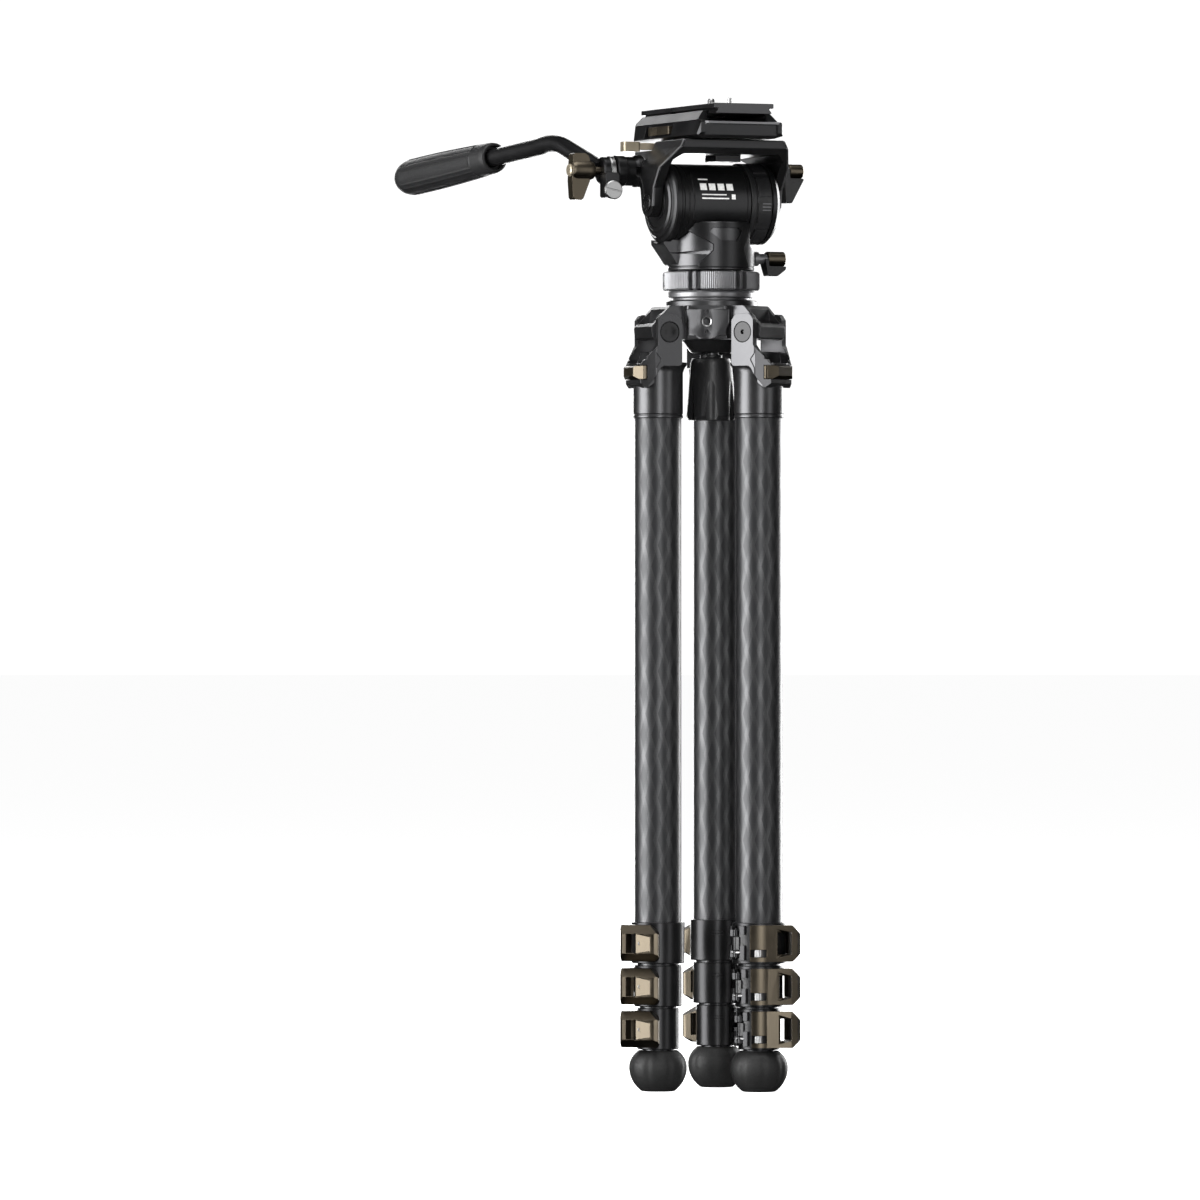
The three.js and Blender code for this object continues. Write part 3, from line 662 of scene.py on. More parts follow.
# ---- leg tops, made about the pan axis ----
def leg_yoke():
    """The casting over the top tube: a collar, two cheeks and the bridge that holds the tab."""
    collar = move(spindle([
        (18.7, 517), (19.2, 517.6), (19.2, 519.2), (18.7, 519.6), (18.7, 520.2), (19.2, 520.6),
        (19.2, 552), (20.6, 556), (22.2, 558), (22.2, 560),
    ], SIDES, 0.5), LEG_X)
    cheek = [
        (34.6, 557), (34.6, 592), (38.5, 597), (51.5, 597), (54.8, 592.5), (54.8, 573), (66, 558.5),
        (66, 543.5), (62.5, 540), (57.5, 547), (53, 555), (50.5, 557),
    ]
    span = [(56, 544), (62, 540), (66, 543.5), (66, 558), (63, 562), (56, 562)]
    saddle = [(34.6, 557), (34.6, 568.8), (45, 567), (52, 568.2), (55, 557)]
    adds = [
        prism_y(cheek, -CHEEK_OUT, -CHEEK_IN, 0.6, 2.2), prism_y(cheek, CHEEK_IN, CHEEK_OUT, 0.6, 2.2),
        prism_y(span, -CHEEK_IN - 1, CHEEK_IN + 1, 0.4, 1.2),
        prism_y(saddle, -CHEEK_IN - 0.5, CHEEK_IN + 0.5, 0, 1),
    ]
    plan = [(20, -23), (20, 23), (55, 23), (57, 21), (66.2, 13.5), (66.2, -13.5), (57, -21), (55, -23)]
    cuts = [
        move(rod(18.25, 510, 540.4, 0, SIDES), LEG_X), box((60, 70), (-12.4, 12.4), (546.6, 557.4), 0, 1),
        box((61.5, 70), (-25, 25), (546.6, 557.4), 0), on_pivot(rod(5, -30, 30, 0)),
    ]
    dish = [(56.6, 569), (66.5, 556), (66.5, 548), (60, 548), (52, 562), (55.4, 566)]
    for side in (-1, 1):
        cuts.append(on_pivot(rod(8.15, *sorted((side * 30, side * (CHEEK_OUT - 2.5))), 0)))
        cuts.append(prism_y(dish, *sorted((side * 30, side * (CHEEK_OUT - 0.7))), 0, 1.5))
    cuts.append(box((56, 70), (-13, 13), (559.2, 566), 0, 1))
    return combine(collar, adds=adds, keeps=[prism(plan[::-1], 500, 620, 0, 1.5)], cuts=cuts)


def pivot_bolt():
    """A shaft with a wide cap at each end, one with a hexagonal socket."""
    caps = [on_pivot(rod(7.8, 20, 22.1, 0.5)), on_pivot(rod(7.8, -22.1, -20, 0.5))]
    sockets = [
        on_pivot(rod(1.9, -30, -20.4, 0, 6)),
        on_pivot(lathe([(0, 21), (5.6, 22.6), (0, 22.6)], 48, 0)),
    ]
    return combine(on_pivot(rod(4.6, -21.2, 21.2)), adds=caps, cuts=sockets)


def angle_tab():
    outline = [
        (60.4, -12), (61.8, -12), (61.8, -17.4), (64.6, -16.4), (70, -9), (70, 9), (64.6, 16.4), (61.8, 17.4),
        (61.8, 12), (60.4, 12),
    ]
    side = [(60, 547), (67, 547), (70.2, 549.5), (70.2, 555.6), (68.8, 557), (60, 557)]
    return combine(prism(outline, 547, 557, 0.4, 1), keeps=[prism_y(side, -20, 20, 0, 0.8)])


def build_legs():
    for number, around in enumerate(LEG_ANGLES, 1):
        leg = f"leg_{number}"
        sections = [leg] + [f"{leg}_section_{n}" for n in (2, 3, 4)]
        for n, section in enumerate(sections):
            tube = move(leg_tube(n), LEG_X)
            put(tube, f"{leg}_carbon_tube_{n + 1}", section, "carbon", f"{leg}_tube_{n + 1}", around)
        for n in range(3):
            build_lock(leg, n, sections[n], around)
        put(move(foot(), LEG_X), f"{leg}_ball_foot", sections[3], "rubber", f"{leg}_foot", around)
        put(leg_yoke(), f"{leg}_casting", leg, "casting", f"{leg}_yoke", around)
        put(pivot_bolt(), f"{leg}_bolt", "hub", "bolt", f"{leg}_pivot_bolt", around)
        put(angle_tab(), f"{leg}_stop_tab", f"{leg}_tab", "bronze", f"{leg}_angle_tab", around)


# ---- hub ----
def lug_cuts():
    """Room for the cheeks beside a lug, its pivot bore, the hollow in its end and the one below."""
    window = [(43.4, 608), (46, 592), (52.6, 583.5), (55.4, 583.5), (55.4, 608)]
    under = [(30, 570), (30, 580), (33, 581.5), (52, 581), (54, 576)]
    return [
        on_pivot(rod(16.2, -60, -LUG_HALF, 0)), on_pivot(rod(16.2, LUG_HALF, 60, 0)),
        on_pivot(rod(4.9, -20, 20, 0)), prism_y(window, -13.2, 13.2, 0, 0.8),
        prism_y(under, -12, 12, 0, 0.6),
    ]


def port_cuts():
    """A port between two pin holes, and the slanted facets and corners beside them."""
    cuts = []
    for z, radius, deep in ((PORT_Z, 3.9, 7), (PORT_Z + 7.7, 1.5, 4), (PORT_Z - 7.7, 1.5, 4)):
        cuts.append(lying_x(rod(radius, PORT_FACE - deep, 60, 0, 32), 0, z))
    for s in (-1, 1):
        facet = box((PORT_FACE, 46), (5, 17.2), (570, 600.6), 0)
        facet = turn(facet, 21, "Z", (PORT_FACE, 5.2, 0))
        cuts.append(mirror(facet, y=-1) if s < 0 else facet)
        corner = [(s * 5, 577), (s * 9, 580.5), (s * 15, 580.5), (s * 15, 577)]
        cuts.append(prism_x(corner[::s], PORT_FACE - 4, 46, 0))
    return cuts


def hub():
    """A core with three lugs, three faces with ports between them, and a bowl on top."""
    reach = math.hypot(PORT_FACE, 15)
    half = math.degrees(math.atan2(15, PORT_FACE))
    plan = [polar(reach, a + s * half) for a in FACE_ANGLES for s in (-1, 1)]
    lug = [(8, 578), (50, 577), (57, 578), (58, 587), (42, HUB_TOP), (8, HUB_TOP)]
    adds = [spindle([(35.5, 602), (35.5, 607), (34.6, 608)], SIDES, 0.7)]
    cuts = []
    for angle in LEG_ANGLES:
        adds.append(turn(prism_y(lug, -LUG_HALF, LUG_HALF, 0.8, 1.5), angle))
        cuts += [turn(cut, angle) for cut in lug_cuts()]
        cuts += [turn(cut, angle + 60) for cut in port_cuts()]
    adds.append(spindle([(14, 567.6), (16, 568.4), (24.5, 579), (24.5, 584)], SIDES, 0.5))
    bowl = [(0, 581)] + arc(31.2, -84, 0, 14, BALL_Z) + [(31.2, 620), (0, 620)]
    cuts.append(lathe(bowl, 64, 0))
    cuts.append(spindle([(10.8, 560), (10.8, 571), (13.6, 580), (13.6, 590)], 64, 0))
    return combine(prism(plan, 578, HUB_TOP, 1.0, 3), adds=adds, cuts=cuts)


def port_ring():
    ring = lathe([
        (2.9, PORT_FACE - 5), (3.85, PORT_FACE - 5), (3.85, PORT_FACE + 0.1), (2.9, PORT_FACE - 0.4),
    ], 32, 0.1)
    return lying_x(ring, 0, PORT_Z)


def half_ball():
    """The ball in the bowl, with its stud below and its flange and neck above."""
    return spindle([(6, 566), (6, 588), (18, 588)] + arc(30, -50, -6, 11, BALL_Z) + [
        (30, 609.9), (33.2, 610.2), (33.6, 611.4), (33.6, 613.6), (32.9, 615.2), (24, 615.2), (24, 630.4),
    ], SIDES, 0.4)


def clamp_handle():
    body = spindle([
        (17.5, 516), (19.3, 519), (18.2, 532), (17.2, 546), (15.9, 560), (14.6, 563.6),
        (8.6, 563.9), (8.6, 566.4), (6.4, 566.4), (6.4, 560),
    ], SIDES, 0.6)
    flutes = []
    for i in range(6):
        flute = move(turn(rod(7, -10, 45, 0, 64), 1.6, "Y"), 23.3, 0, 515)
        flutes.append(turn(flute, 60 * i + 6))
    return combine(body, cuts=flutes)


def knurled_ring():
    """Six knurled pads with a smooth bar in each gap between them."""
    samples = 864
    tall = RING_TOP - RING_BOTTOM
    rows = [(-2.0, 0), (-0.5, 0.6), (0, 1.8), (0, tall - 1.8), (-0.5, tall - 0.6), (-2.0, tall)]

    def reach(degrees):
        offset = abs((degrees - 254.5 + 30) % 60 - 30)
        if offset < 22.4:
            return RING_RADIUS - 0.45 * abs(sine(degrees * 72))
        return RING_RADIUS - (6 if offset < 27.8 else 0.8)

    bm = bmesh.new()

    def ring(height, inset=0, bore=0):
        made = []
        for i in range(samples):
            degrees = 360 * i / samples
            x, y = polar(bore or reach(degrees) + inset, degrees)
            made.append(bm.verts.new((x, y, RING_BOTTOM + height)))
        return made

    rings = [ring(height, inset) for inset, height in rows]
    rings += [ring(height, bore=RING_BORE) for height in (tall, 0)]
    bridge(bm, rings + rings[:1])
    return to_object(bm)


def build_hub():
    put(hub(), "hub_casting", "hub", "casting", "hub")
    for angle in FACE_ANGLES:
        put(port_ring(), f"port_ring_{angle}", "hub", "steel", (), angle)
    put(half_ball(), "levelling_half_ball", "levelling_ball", "grey", "half_ball")
    put(clamp_handle(), "ball_clamp_handle", "ball_clamp", "plastic", "clamp_handle")
    put(knurled_ring(), "knurled_lock_ring", "lock_ring", "grey", "knurled_ring")


# ---- fluid head ----
def barrel_seat():
    return on_tilt(rod(BARREL_RADIUS + 0.4, -39, 30, 0, SIDES))


def pan_base():
    """A turned neck and a cradle for the barrel, with a boss for the pan lock."""
    neck = spindle([
        (33.2, 630.8), (34, 631.6), (34, 633), (33.4, 633.3), (33.4, 633.9), (34, 634.2), (34, 668),
    ], SIDES, 0.3)
    side = [(-40, 600), (27, 600), (27, 645), (20.2, 650), (20.2, 665), (17, 668.5), (-40, 668.5)]
    neck = combine(neck, keeps=[prism_y(side, -50, 50, 0, 1)])
    support = [(-20, 634), (-33, 635), (-37, 641), (-44.5, 651), (-44.5, 664), (-29, 668), (-20, 668)]
    support = prism_y(support[::-1], -10, 14, 0.8, 3)
    boss = lying_x(spindle([(7, 20), (7, 31), (6, 33.2)], 48, 0.3), 0, 641)
    wedge = [(-16, 644.2), (17, 646.3), (17, 642.6), (-16, 644.0)]
    slit = turn(hull([(x, y, z) for x in (26, 40) for y, z in wedge]), 214)
    cap_seat = on_tilt(rod(CAP_RADIUS + 0.4, -60, -38.8, 0, SIDES))
    return combine(neck, adds=[support, boss], cuts=[barrel_seat(), cap_seat, slit])


def cradle_panel():
    """The raised dark panel on the front of the pan base, with a hollow in its middle."""
    outline = [
        (-33, 667), (-33, 663.4), (-13, 650.5), (-13, 646), (-23, 635.5), (-23, 632.6), (18, 632.6),
        (13, 645), (13, 650), (19, 660), (19, 667),
    ]
    hollow = [(-13.8, 663.2), (7.4, 663.2), (10.4, 660.4), (6.4, 653.4), (-7.4, 653.4), (-15.8, 660)]
    shell = lathe([(33.9, 632.6), (35.3, 632.6), (35.9, 633.4), (35.9, 668), (33.9, 668)], SIDES, 0)
    return combine(shell, keeps=[prism_y(outline[::-1], -40, -4, 0, 1)],
                   cuts=[prism_y(hollow, -40, -10, 0, 0.8), barrel_seat()])


def barrel():
    """The fluid cartridge: a wide ringed cap, a plain drum with a raised panel, and an end cap."""
    body = on_tilt(spindle([
        (22, -46), (24, -45), (26.5, -45), (28, -43.6), (30.2, -42.8), (CAP_RADIUS, -41.6),
        (CAP_RADIUS, -38.2), (30.2, -37.6), (29.2, -37), (29.2, -35.6), (29.9, -35), (29.9, -31.8),
        (29.4, -31.3), (29.9, -30.8), (29.9, 20.4), (24, 20.4), (24, 38.6), (30.9, 38.6),
        (CAP_RADIUS, 39.2), (CAP_RADIUS, 42), (28, 45.4), (24, 46),
    ], 128, 0.3))
    left, right, low, high = -28.1, 17.7, TILT_Z - 16, TILT_Z + 24
    panel = lathe([(28, -28), (30.3, -28), (30.9, -27.2), (30.9, 16.8), (30.3, 17.6), (28, 17.6)], 128, 0)
    front = box((left, right), (-40, -18), (low + 1, high - 1), 0)
    outline = prism_y([(left, low), (right, low), (right, high), (left, high)], -40, 0, 0, 5)
    panel = combine(on_tilt(panel), keeps=[front, outline])
    sockets = [on_tilt(rod(20, -50, -45.1, 0.2, 64, 13)), on_tilt(rod(19, 45.2, 50, 0.2, 64, 14))]
    return combine(body, adds=[panel], cuts=sockets)


def barrel_marks():
    """Plain pale bars in place of any lettering."""
    bars = [box((-23, -15), (-31.6, -25), (699.8, 700.8), 0)]
    for i in range(4):
        bars.append(box((-22.4 + 7.4 * i, -17 + 7.4 * i), (-31.6, -27.5), (692, 697.2), 0))
    for low, high, left, right in ((688.2, 689, -21.6, -1), (685.2, 686.2, -21.6, 1), (685.2, 689, 3.4, 6.6)):
        bars.append(box((left, right), (-31.6, -30), (low, high), 0))
    return combine(bars[0], adds=bars[1:], keeps=[on_tilt(rod(31.05, -40, 30, 0, 128, 30))])


def drag_ring():
    ring = on_tilt(lathe([
        (24.4, 20.8), (CAP_RADIUS - 0.3, 20.8), (CAP_RADIUS, 21.2), (CAP_RADIUS, 24.6), (30.2, 25.4),
        (30.2, 38.2), (24.4, 38.2),
    ], 128, 0.3))
    pads = []
    for i in range(9):
        wedge = prism([(0, 0), polar(60, -15), polar(60, 15)], 20, 45, 0)
        pad = combine(rod(CAP_RADIUS, 26.4, 37.6, 0.5, 128, 28), keeps=[wedge])
        pads.append(turn(on_tilt(pad), 40 * i + 6, "X", (0, 0, TILT_Z)))
    return combine(ring, adds=pads)


def drag_marks():
    marks = []
    for i in (-1, 0, 1):
        mark = box((29.5, 36.5), (-31.45, -31.1), (-0.35, 0.35), 0)
        marks.append(turn(mark, 6 + 4.5 * i, "X"))
    return move(combine(marks[0], adds=marks[1:]), 0, 0, TILT_Z)


def tilt_bracket():
    """An arch over the barrel, open below, with the fixed half of the handle's joint."""
    outer = [
        (-ARM_OUT, 660), (-ARM_OUT, 709), (-45, 724), (-42, BEAM_TOP), (42, BEAM_TOP), (45, 724),
        (ARM_OUT, 709), (ARM_OUT, 660),
    ]
    inner = [
        (-ARM_IN, 650), (-ARM_IN, 714.8), (-40, BEAM_BOTTOM), (40, BEAM_BOTTOM), (ARM_IN, 714.8),
        (ARM_IN, 650),
    ]
    side = arc(11, 180, 360, 12, TILT_Z) + [
        (13, 694), (24, 709), (33, 716), (43, 724), (43, BEAM_TOP),
        (-43, BEAM_TOP), (-43, 724), (-33, 716), (-24, 709), (-13, 694),
    ]
    arch = combine(prism_y(outer, -60, 60, 0, 1.5), cuts=[prism_y(inner, -70, 70, 0, 0.8)])
    arch = combine(arch, keeps=[prism_x(side, -60, 60, 0, 1.2)])
    inset = arc(7.4, 180, 360, 12, TILT_Z) + [(9, 696), (19.5, 711), (-19.5, 711), (-9, 696)]
    block = box((-2, 20), (-12, 8), (715, BEAM_BOTTOM + 1), 0.6, 1.5)
    arm = prism_y([(-52, 700), (-49, 706), (-44, 712), (-44, 721), (-52, 715)], 12, 38, 0.8, 1)
    boss = on_joint(spindle([
        (10.8, -72), (12, -70.8), (12, -64), (11.4, -63.4), (11.4, -56), (12.4, -54), (12.4, -49),
    ], 64, 0.3))
    cuts = [
        prism_x(inset, ARM_OUT - 0.9, ARM_OUT + 3, 0, 1), prism_x(inset, -ARM_OUT - 3, -ARM_OUT + 0.9, 0, 1),
        on_tilt(rod(CAP_RADIUS + 1, -46.6, 46.6, 0, SIDES)),
        box((-60, -24), (11, 60), (723.6, 740), 0, 0.5), on_joint(rod(3.4, -80, -60, 0)),
    ]
    return combine(arch, adds=[block, arm, boss], cuts=cuts)


def arm_painted_highlight_rims():
    """Fine raised lines along the front edges of the two arms, coloured pale grey as a painted highlight on
    those edges.
    """
    shells = []
    for grow in (0.5, -1):
        right = [(42 + grow, 730.2), (45 + grow, 724), (ARM_OUT + grow, 709), (ARM_OUT + grow, 676)]
        left = [(-x, z) for x, z in right[::-1]]
        shells.append(prism_y(left + right, -60 + grow, 60 - grow, 0, 1.5))
    line = [
        (-11, 680), (-13, 694), (-24, 709), (-33, 716), (-43, 724), (-43, 730), (-41.2, 730), (-41.2, 725),
        (-31.8, 717.8), (-22.6, 710.4), (-11.4, 695), (-9.4, 680),
    ]
    # The inside is a hair lower, so that its edges miss the corners of the line.
    return combine(shells[0], keeps=[prism_x(line, -60, 60, 0)], cuts=[move(shells[1], z=-0.01)])


def pivot_cap():
    """The cap on the right end of the tilt axis, with a hexagonal socket."""
    cap = spindle([(6.4, ARM_OUT - 1), (6.4, ARM_OUT + 0.3), (5.6, ARM_OUT + 1)], 48, 0.3)
    return on_tilt(combine(cap, cuts=[rod(2.4, ARM_OUT + 0.1, ARM_OUT + 4, 0, 6)]))


def quick_release_base():
    """A long block with a dovetail channel along its top."""
    section = [
        (-29.3, 731.2), (29.3, 731.2), (36.5, 733.5), (33.5, 745), (27.5, 752.2), (22.4, 752.2),
        (24.8, 749), (24.8, 744.5), (-24.8, 744.5), (-24.8, 749), (-22.4, 752.2), (-27.5, 752.2),
        (-33.5, 745), (-36.5, 733.5),
    ]
    side = [
        (-52, 731), (66, 731), (71, 736), (71, 746), (67, 753), (-44, 753), (-48, 744.6),
        (-56, 743.6), (-56, 735),
    ]
    plan = [(-34, -56.2), (34, -56.2), (37, -52), (37, 64), (31, 71.2), (-31, 71.2), (-37, 64), (-37, -52)]
    recess = [(-24, 741.8), (31, 741.8), (31, 733.4), (-31.5, 733.4)]
    cuts = [box((-40, -31), (-4, 46), (734, 744.3), 0, 1), lying_x(rod(3.2, 26, 40, 0), -44, 738),
            prism_y(recess, -60, -53.8, 0, 0.8)]
    keeps = [prism_x(side, -40, 40, 0, 1.2), prism(plan, 720, 760, 0, 1)]
    return combine(prism_y(section, -56, 71, 0, 0.7), keeps=keeps, cuts=cuts)


def base_painted_highlight_rim():
    """A raised line round the front of the quick-release base, coloured pale grey as a painted highlight on
    that edge.
    """
    path = [(-38.4, 733.6), (-36.4, 733.6), (-29.6, 742), (31.4, 742), (31.4, 743.8), (-30.6, 743.8)]
    rim = prism_y(path, -57.2, -54, 0.3)
    plan = [(-28, -57), (40, -57), (40, -50), (-40, -50), (-38.4, -52.6)]
    return combine(rim, keeps=[prism(plan[::-1], 720, 760, 0)])


def side_catch():
    catch = box((-35.4, -31), (2, 40), (736, 742.4), 0.5, 0.6)
    ribs = [box((-37, -34.9), (24 + 2 * i, 24.9 + 2 * i), (735, 743), 0) for i in range(6)]
    return combine(catch, cuts=ribs)


def camera_plate():
    """A dovetail plate with a long slot for its screw and a groove for each rubber strip."""
    section = [(-25, 753.8), (-20.8, 753.8), (-23.8, 749.8), (23.8, 749.8), (20.8, 753.8), (25, 753.8),
               (25, PLATE_TOP), (-25, PLATE_TOP)]
    cuts = [
        prism([(-3.3, -12), (3.3, -12), (3.3, 40), (-3.3, 40)], 740, 770, 0, 3),
        prism([(-7, -16), (7, -16), (7, 44), (-7, 44)], 740, 753, 0, 3),
    ]
    for x in (-PAD_X, PAD_X):
        cuts.append(box((x - 5, x + 5), (-52, 68), (PLATE_TOP - 0.7, PLATE_TOP + 2), 0, 1.5))
    return combine(prism_y(section, -60, 75.5, 0.4, 0.5), cuts=cuts)


def plate_pad(x):
    pad = box((x - 4.8, x + 4.8), (-51.8, 67.8), (PLATE_TOP - 0.7, PLATE_TOP), 0.1, 1.4)
    grooves = []
    for i in range(29):
        start = -48 + 4 * i
        grooves.append(box((x - 8, x + 8), (start, start + 0.8), (PLATE_TOP - 0.3, PLATE_TOP + 1), 0))
    return combine(pad, cuts=[combine(grooves[0], adds=grooves[1:])])


def camera_screw():
    thread = [p for i in range(11) for p in ((3.05, 757.2 + i * 0.55), (2.75, 757.45 + i * 0.55))]
    head = [(6.4, 750.4), (6.6, 750.8), (6.6, 752.4), (3, 752.6), (3, 757)]
    body = spindle(head + thread + [(2.4, 763.8)], 48, 0)
    return combine(body, cuts=[box((-9, 9), (-0.7, 0.7), (749, 751.4), 0)])


def locating_pin():
    pin = spindle([(1.7, PLATE_TOP - 1), (1.7, PLATE_TOP + 5), (1.3, PLATE_TOP + 5.4)], 32, 0.1)
    return move(pin, 0, -34)


def release_lever():
    bar = [(-27, 15.6), (-26.6, 24), (-33, 24.6), (-54, 23), (-54, 17.5), (-33, 15.6)]
    tab = [(-53, 15), (-66, 16.5), (-66, 25), (-53, 26)]
    adds = [prism(tab[::-1], 722.8, 730.4, 0.6, 1.5), move(rod(4.6, 724.4, 730.8), -31, 20)]
    return combine(prism(bar[::-1], 724.4, 729.6, 0.5, 1), adds=adds)


def build_lock_lever(body, z, start, cap_from, cap_to, cap_radius, wing, taper):
    """A turned stem, a bronze cap on its end and a dark wing to turn it by."""
    stem = spindle([
        (4.6, start), (4.6, start + 1.5), (5.6, start + 2), (5.6, start + 5.5), (4, start + 6),
        (4, cap_from + 2),
    ], 48, 0.2)
    put(lying_x(stem, 0, z), f"{body}_stem", body, "grey")
    cap = spindle([
        (cap_radius - 0.5, cap_from), (cap_radius, cap_from + 0.6), (cap_radius, cap_to - 1.2),
        (cap_radius - 1.2, cap_to),
    ], 48, 0.3)
    put(lying_x(cap, 0, z), f"{body}_cap", body, "bronze", f"{body}_lever")
    paddle = combine(prism_x(wing, 30, 90, 0, 1.4), keeps=[prism_y(taper, -20, 20, 0.6, 1.2)],
                     cuts=[lying_x(rod(cap_radius + 0.05, cap_from, 100, 0), 0, z)])
    put(paddle, f"{body}_wing", body, "plastic")


def build_head():
    put(pan_base(), "pan_cradle", "pan", "casting", "pan_base")
    put(cradle_panel(), "cradle_panel", "pan", "black")
    put(barrel(), "fluid_cartridge", "pan", "black", "fluid_barrel")
    put(barrel_marks(), "barrel_marks", "pan", "marks")
    put(drag_ring(), "tilt_drag_ring", "drag", "plastic", "drag_ring")
    put(drag_marks(), "drag_ring_marks", "drag", "grey")
    put(tilt_bracket(), "tilt_arms", "tilt", "black", "tilt_bracket")
    put(pivot_cap(), "right_pivot_cap", "tilt", "bolt")
    put(mirror(pivot_cap(), x=-1), "left_pivot_cap", "tilt", "bolt")
    put(quick_release_base(), "release_base", "tilt", "black", "quick_release_base")
    # Pale grey raised line: painted highlight along the base's front edge.
    put(base_painted_highlight_rim(), "release_base_painted_highlight_rim", "tilt", "grey")
    # Pale grey raised lines: painted highlight along the arms' front edges.
    put(arm_painted_highlight_rims(), "tilt_arm_painted_highlight_rims", "tilt", "grey")
    put(side_catch(), "side_catch", "tilt", "bronze")
    put(camera_plate(), "sliding_plate", "plate", "casting", "camera_plate")
    put(plate_pad(-PAD_X), "plate_pad_left", "plate", "rubber")
    put(plate_pad(PAD_X), "plate_pad_right", "plate", "rubber")
    put(locating_pin(), "plate_pin", "plate", "steel")
    put(camera_screw(), "camera_thread", "screw", "steel", "camera_screw")
    put(release_lever(), "plate_release_lever", "release", "champagne", "release_lever")
    button = lying_x(rod(2.8, 28, 39, 0.5), -44, 738)
    put(button, "plate_release_button", "button", "bronze", "release_button")
    pan_wing = [(-5, 645), (5, 645), (5, 638), (1, 627.6), (-8, 627.6)]
    pan_taper = [(43.4, 641), (46.4, 641), (46.4, 635.4), (61, 635.2), (60, 632.6), (53, 627.6), (45, 627.6)]
    build_lock_lever("pan_lock", 641, 33.6, 46.5, 62, 5.8, pan_wing, pan_taper)
    tilt_wing = [(-5, 713), (5, 713), (5, 706), (3, 684.2), (-6, 684.2)]
    tilt_taper = [(60, 711), (64.9, 711), (64.9, 703.6), (77, 703.4), (66, 684.2), (61, 684.2)]
    build_lock_lever("tilt_lock", 709, 54.4, 65, 77.2, 5.6, tilt_wing, tilt_taper)


# ---- pan handle ----
def along_handle(distance, z):
    return Vector((-80 - distance * sine(HANDLE_YAW), HANDLE_Y + distance * cosine(HANDLE_YAW), z))


def handle_tube():
    """A tube that rises from the joint, bends and runs down to the grip."""
    places = ((4, 709), (58, 729), (74, 734), (92, 730.6), (250, 717))
    first, before, corner, after, last = [along_handle(*place) for place in places]
    path = [first.lerp(before, i / 4) for i in range(4)]
    path += bend(before, corner, after, 16)
    path += [after.lerp(last, i / 4) for i in range(1, 5)]
    return sweep(path, 7)


def handle_socket():
    """The moving half of the joint, with a clamp ear below and the tube."""
    body = on_joint(spindle([(9.4, -83), (10.6, -81.8), (10.6, -73.6), (9.8, -72.4)], 64, 0.3))
    ear = [(-84, 687), (-76, 685.6), (-72.8, 689), (-72.8, 706), (-84, 706)]
    ear = combine(prism_y(ear[::-1], 10.4, 22, 0.6, 1.5), cuts=[on_joint(rod(12.4, -74.6, -60, 0))])
    return combine(body, adds=[ear, handle_tube()], cuts=[on_joint(rod(3.3, -95, -60, 0))])


def rosette():
    """The toothed steel face between the bracket and the handle."""
    def teeth(angle, z):
        return 1 if z < -73 else 1 - 0.03 * abs(sine(angle * 18))

    return on_joint(lathe([
        (5, -77.2), (11, -77.2), (11.5, -76.4), (11.5, -73.8), (11, -73.2), (9.6, -72.5), (5, -72.5),
    ], 144, 0.2, teeth))


def slotted_disc():
    disc = spindle([(6.6, 7.2), (7.3, 7.9), (7.3, 10.6)], 64, 0.2)
    slot = box((-9, 9), (-0.5, 0.5), (6.5, 7.9), 0)
    return lying_y(turn(combine(disc, cuts=[slot]), 12), -78.6, 692.6)


def handle_grip():
    """A rubber sleeve that swells towards its round end, with six sunk panels."""
    start, end = along_handle(160, 724.6), along_handle(300, 712.6)
    length = (end - start).length

    def panels(angle, z):
        across = 24 - abs((angle + 30) % 60 - 30)
        edge = min(across, (z - 20) / 0.25, (length - 14 - z) / 0.25)
        if edge < 0:
            return 1
        return 1.02 if edge < 3.5 else 1 - 0.03 * min(1, (edge - 3.5) / 2)

    profile = [(0, 0.4), (10.6, 0), (11.6, 0.8), (12.2, 4)]
    profile += [(12.2 + 2.0 * math.sin(math.pi / 2 * min(1, (z - 4) / 100)), z) for z in range(6, 122)]
    profile += [(14.2, 124), (13.8, 128), (12.8, 132.4), (11, 136.4), (8.4, 139.2), (4.5, 140.6), (0, 140.9)]
    mouth = rod(9.4, -4, 5, 0.3, 64)
    grip = combine(lathe(profile, 180, 0, panels), cuts=[mouth, rod(7.3, -2, 96, 0)])
    facing = Vector((0, 0, 1)).rotation_difference(end - start).to_matrix().to_4x4()
    grip.data.transform(Matrix.Translation(start) @ facing)
    return grip


def handle_knob():
    """A turned hub with a flat wing across it, and the screw that closes the joint."""
    body = on_joint(lathe([
        (0, -108), (6, -108), (7, -107), (8, -104), (8, -93), (6.6, -89), (0, -88.8),
    ], 48, 0.4))
    wing = [(-107, 721), (-95, 721), (-93, 716), (-93, 700), (-99, 685), (-107, 685), (-108, 700)]
    wing = prism_y(wing[::-1], HANDLE_Y - 4.5, HANDLE_Y + 4.5, 1.2, 2)
    return combine(body, adds=[wing, on_joint(rod(3, -92, -66))])


def knob_cap():
    return on_joint(spindle([(4, -109.4), (5, -108.6), (5, -107.6)], 48, 0.3))


def build_handle():
    put(handle_socket(), "pan_handle_arm", "handle", "black", "handle_arm")
    put(rosette(), "handle_rosette", "handle", "steel")
    put(slotted_disc(), "slotted_disc", "handle", "steel")
    put(handle_grip(), "pan_handle_grip", "handle", "grip", "handle_grip")
    put(handle_knob(), "rosette_knob", "knob", "bronze", "handle_knob")
    put(knob_cap(), "rosette_knob_cap", "knob", "champagne")


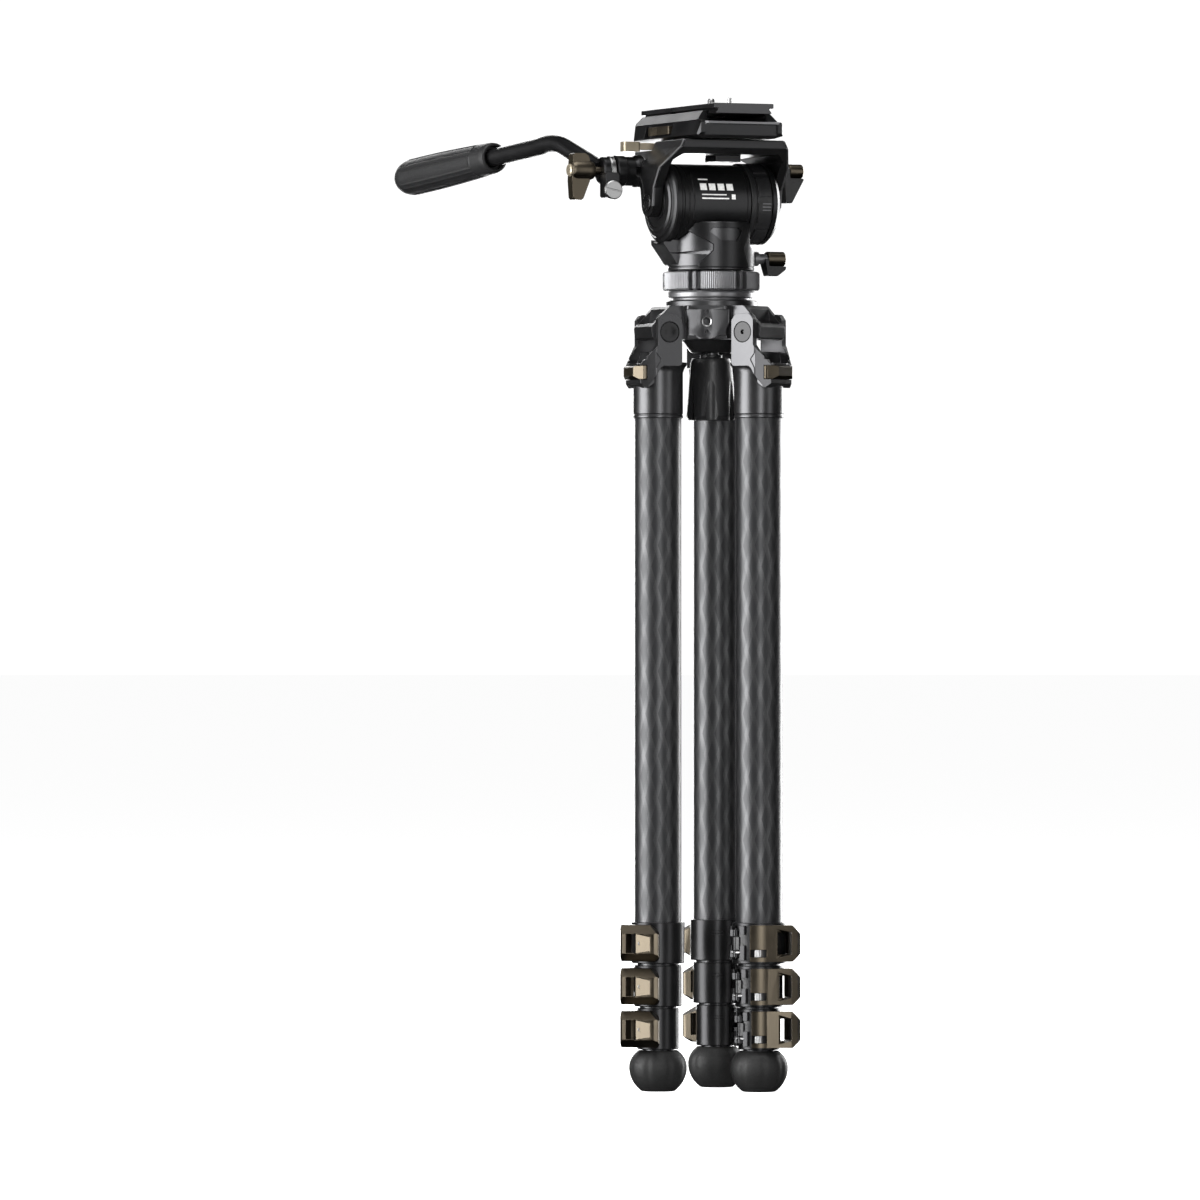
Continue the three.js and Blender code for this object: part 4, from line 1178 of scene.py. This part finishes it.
# ---- studio, in metres ----
VIEW_AZIMUTH = -24
DISTANCE = 7.2
WIDTH_AT_AXIS = 0.925
AIM_LEFT = 0.0857
AIM_HEIGHT = 0.3775
LIGHT_AIM = Vector((0, -0.1, 0.42))
LIGHTS = (
    # name, degrees round from the camera, distance, height, size, power
    ("key_box", -70, 2.8, 0.7, (2.1, 2.6), 215),
    ("fill_box", 9, 3.0, 0.7, (0.8, 2.6), 48),
    ("right_box", 50, 3.0, 0.8, (0.9, 2.4), 15),
    ("back_right_box", 140, 3.2, 0.9, (1.6, 2.4), 110),
    ("back_left_box", -172, 3.2, 0.9, (1.4, 2.4), 90),
    ("top_panel", 0, 0.6, 3.0, (2.0, 2.0), 60),
)


def build_camera():
    right = Vector((*polar(1, VIEW_AZIMUTH), 0))
    back = Vector((*polar(1, VIEW_AZIMUTH - 90), 0))
    target = PAN_AXIS * 0.001 - right * AIM_LEFT + Vector((0, 0, AIM_HEIGHT))
    data = bpy.data.cameras.new("camera")
    data.angle = 2 * math.atan(WIDTH_AT_AXIS / 2 / DISTANCE)
    data.clip_end = 50
    camera = bpy.data.objects.new("camera", data)
    bpy.context.scene.collection.objects.link(camera)
    camera.location = target + back * DISTANCE
    camera.rotation_euler = (math.radians(90), 0, math.radians(VIEW_AZIMUTH))
    bpy.context.scene.camera = camera


def soft_light(name, azimuth, distance, height, size, power):
    data = bpy.data.lights.new(name, "AREA")
    data.shape = "RECTANGLE"
    data.size, data.size_y = size
    data.energy = power
    light = bpy.data.objects.new(name, data)
    light.location = (*polar(distance, azimuth - 90 + VIEW_AZIMUTH), height)
    light.rotation_euler = (LIGHT_AIM - light.location).to_track_quat("-Z", "Y").to_euler()
    bpy.context.scene.collection.objects.link(light)


def build_floor():
    """A pale floor that glows a little, so that it stays even out to the horizon."""
    floor = rod(40, -1, 0, 0, 96)
    material, tree, shader = new_finish("studio_white", 0.0, 0.9)
    paper = blend_colours(tree, noise(tree, 3.0), (0.93, 0.93, 0.93), (0.95, 0.95, 0.95))
    tree.links.new(paper, shader.inputs["Base Color"])
    set_inputs(shader, {"Specular IOR Level": 0.0, "Emission Color": (1, 1, 1, 1), "Emission Strength": 0.97})
    floor.name = "studio_floor"
    floor.data.materials.append(material)
    floor.visible_glossy = False


def build_surround():
    """A white surround that only the camera sees."""
    scene = bpy.context.scene
    scene.view_settings.view_transform = "Standard"
    world = scene.world or bpy.data.worlds.new("world")
    scene.world = world
    world.use_nodes = True
    set_inputs(world.node_tree.nodes["Background"], {"Color": (1, 1, 1, 1), "Strength": 1.1})
    world.cycles_visibility.diffuse = False
    world.cycles_visibility.glossy = False


build_legs()
build_hub()
build_head()
build_handle()
build_camera()
build_floor()
build_surround()
for row in LIGHTS:
    soft_light(*row)
bpy.context.view_layer.update()
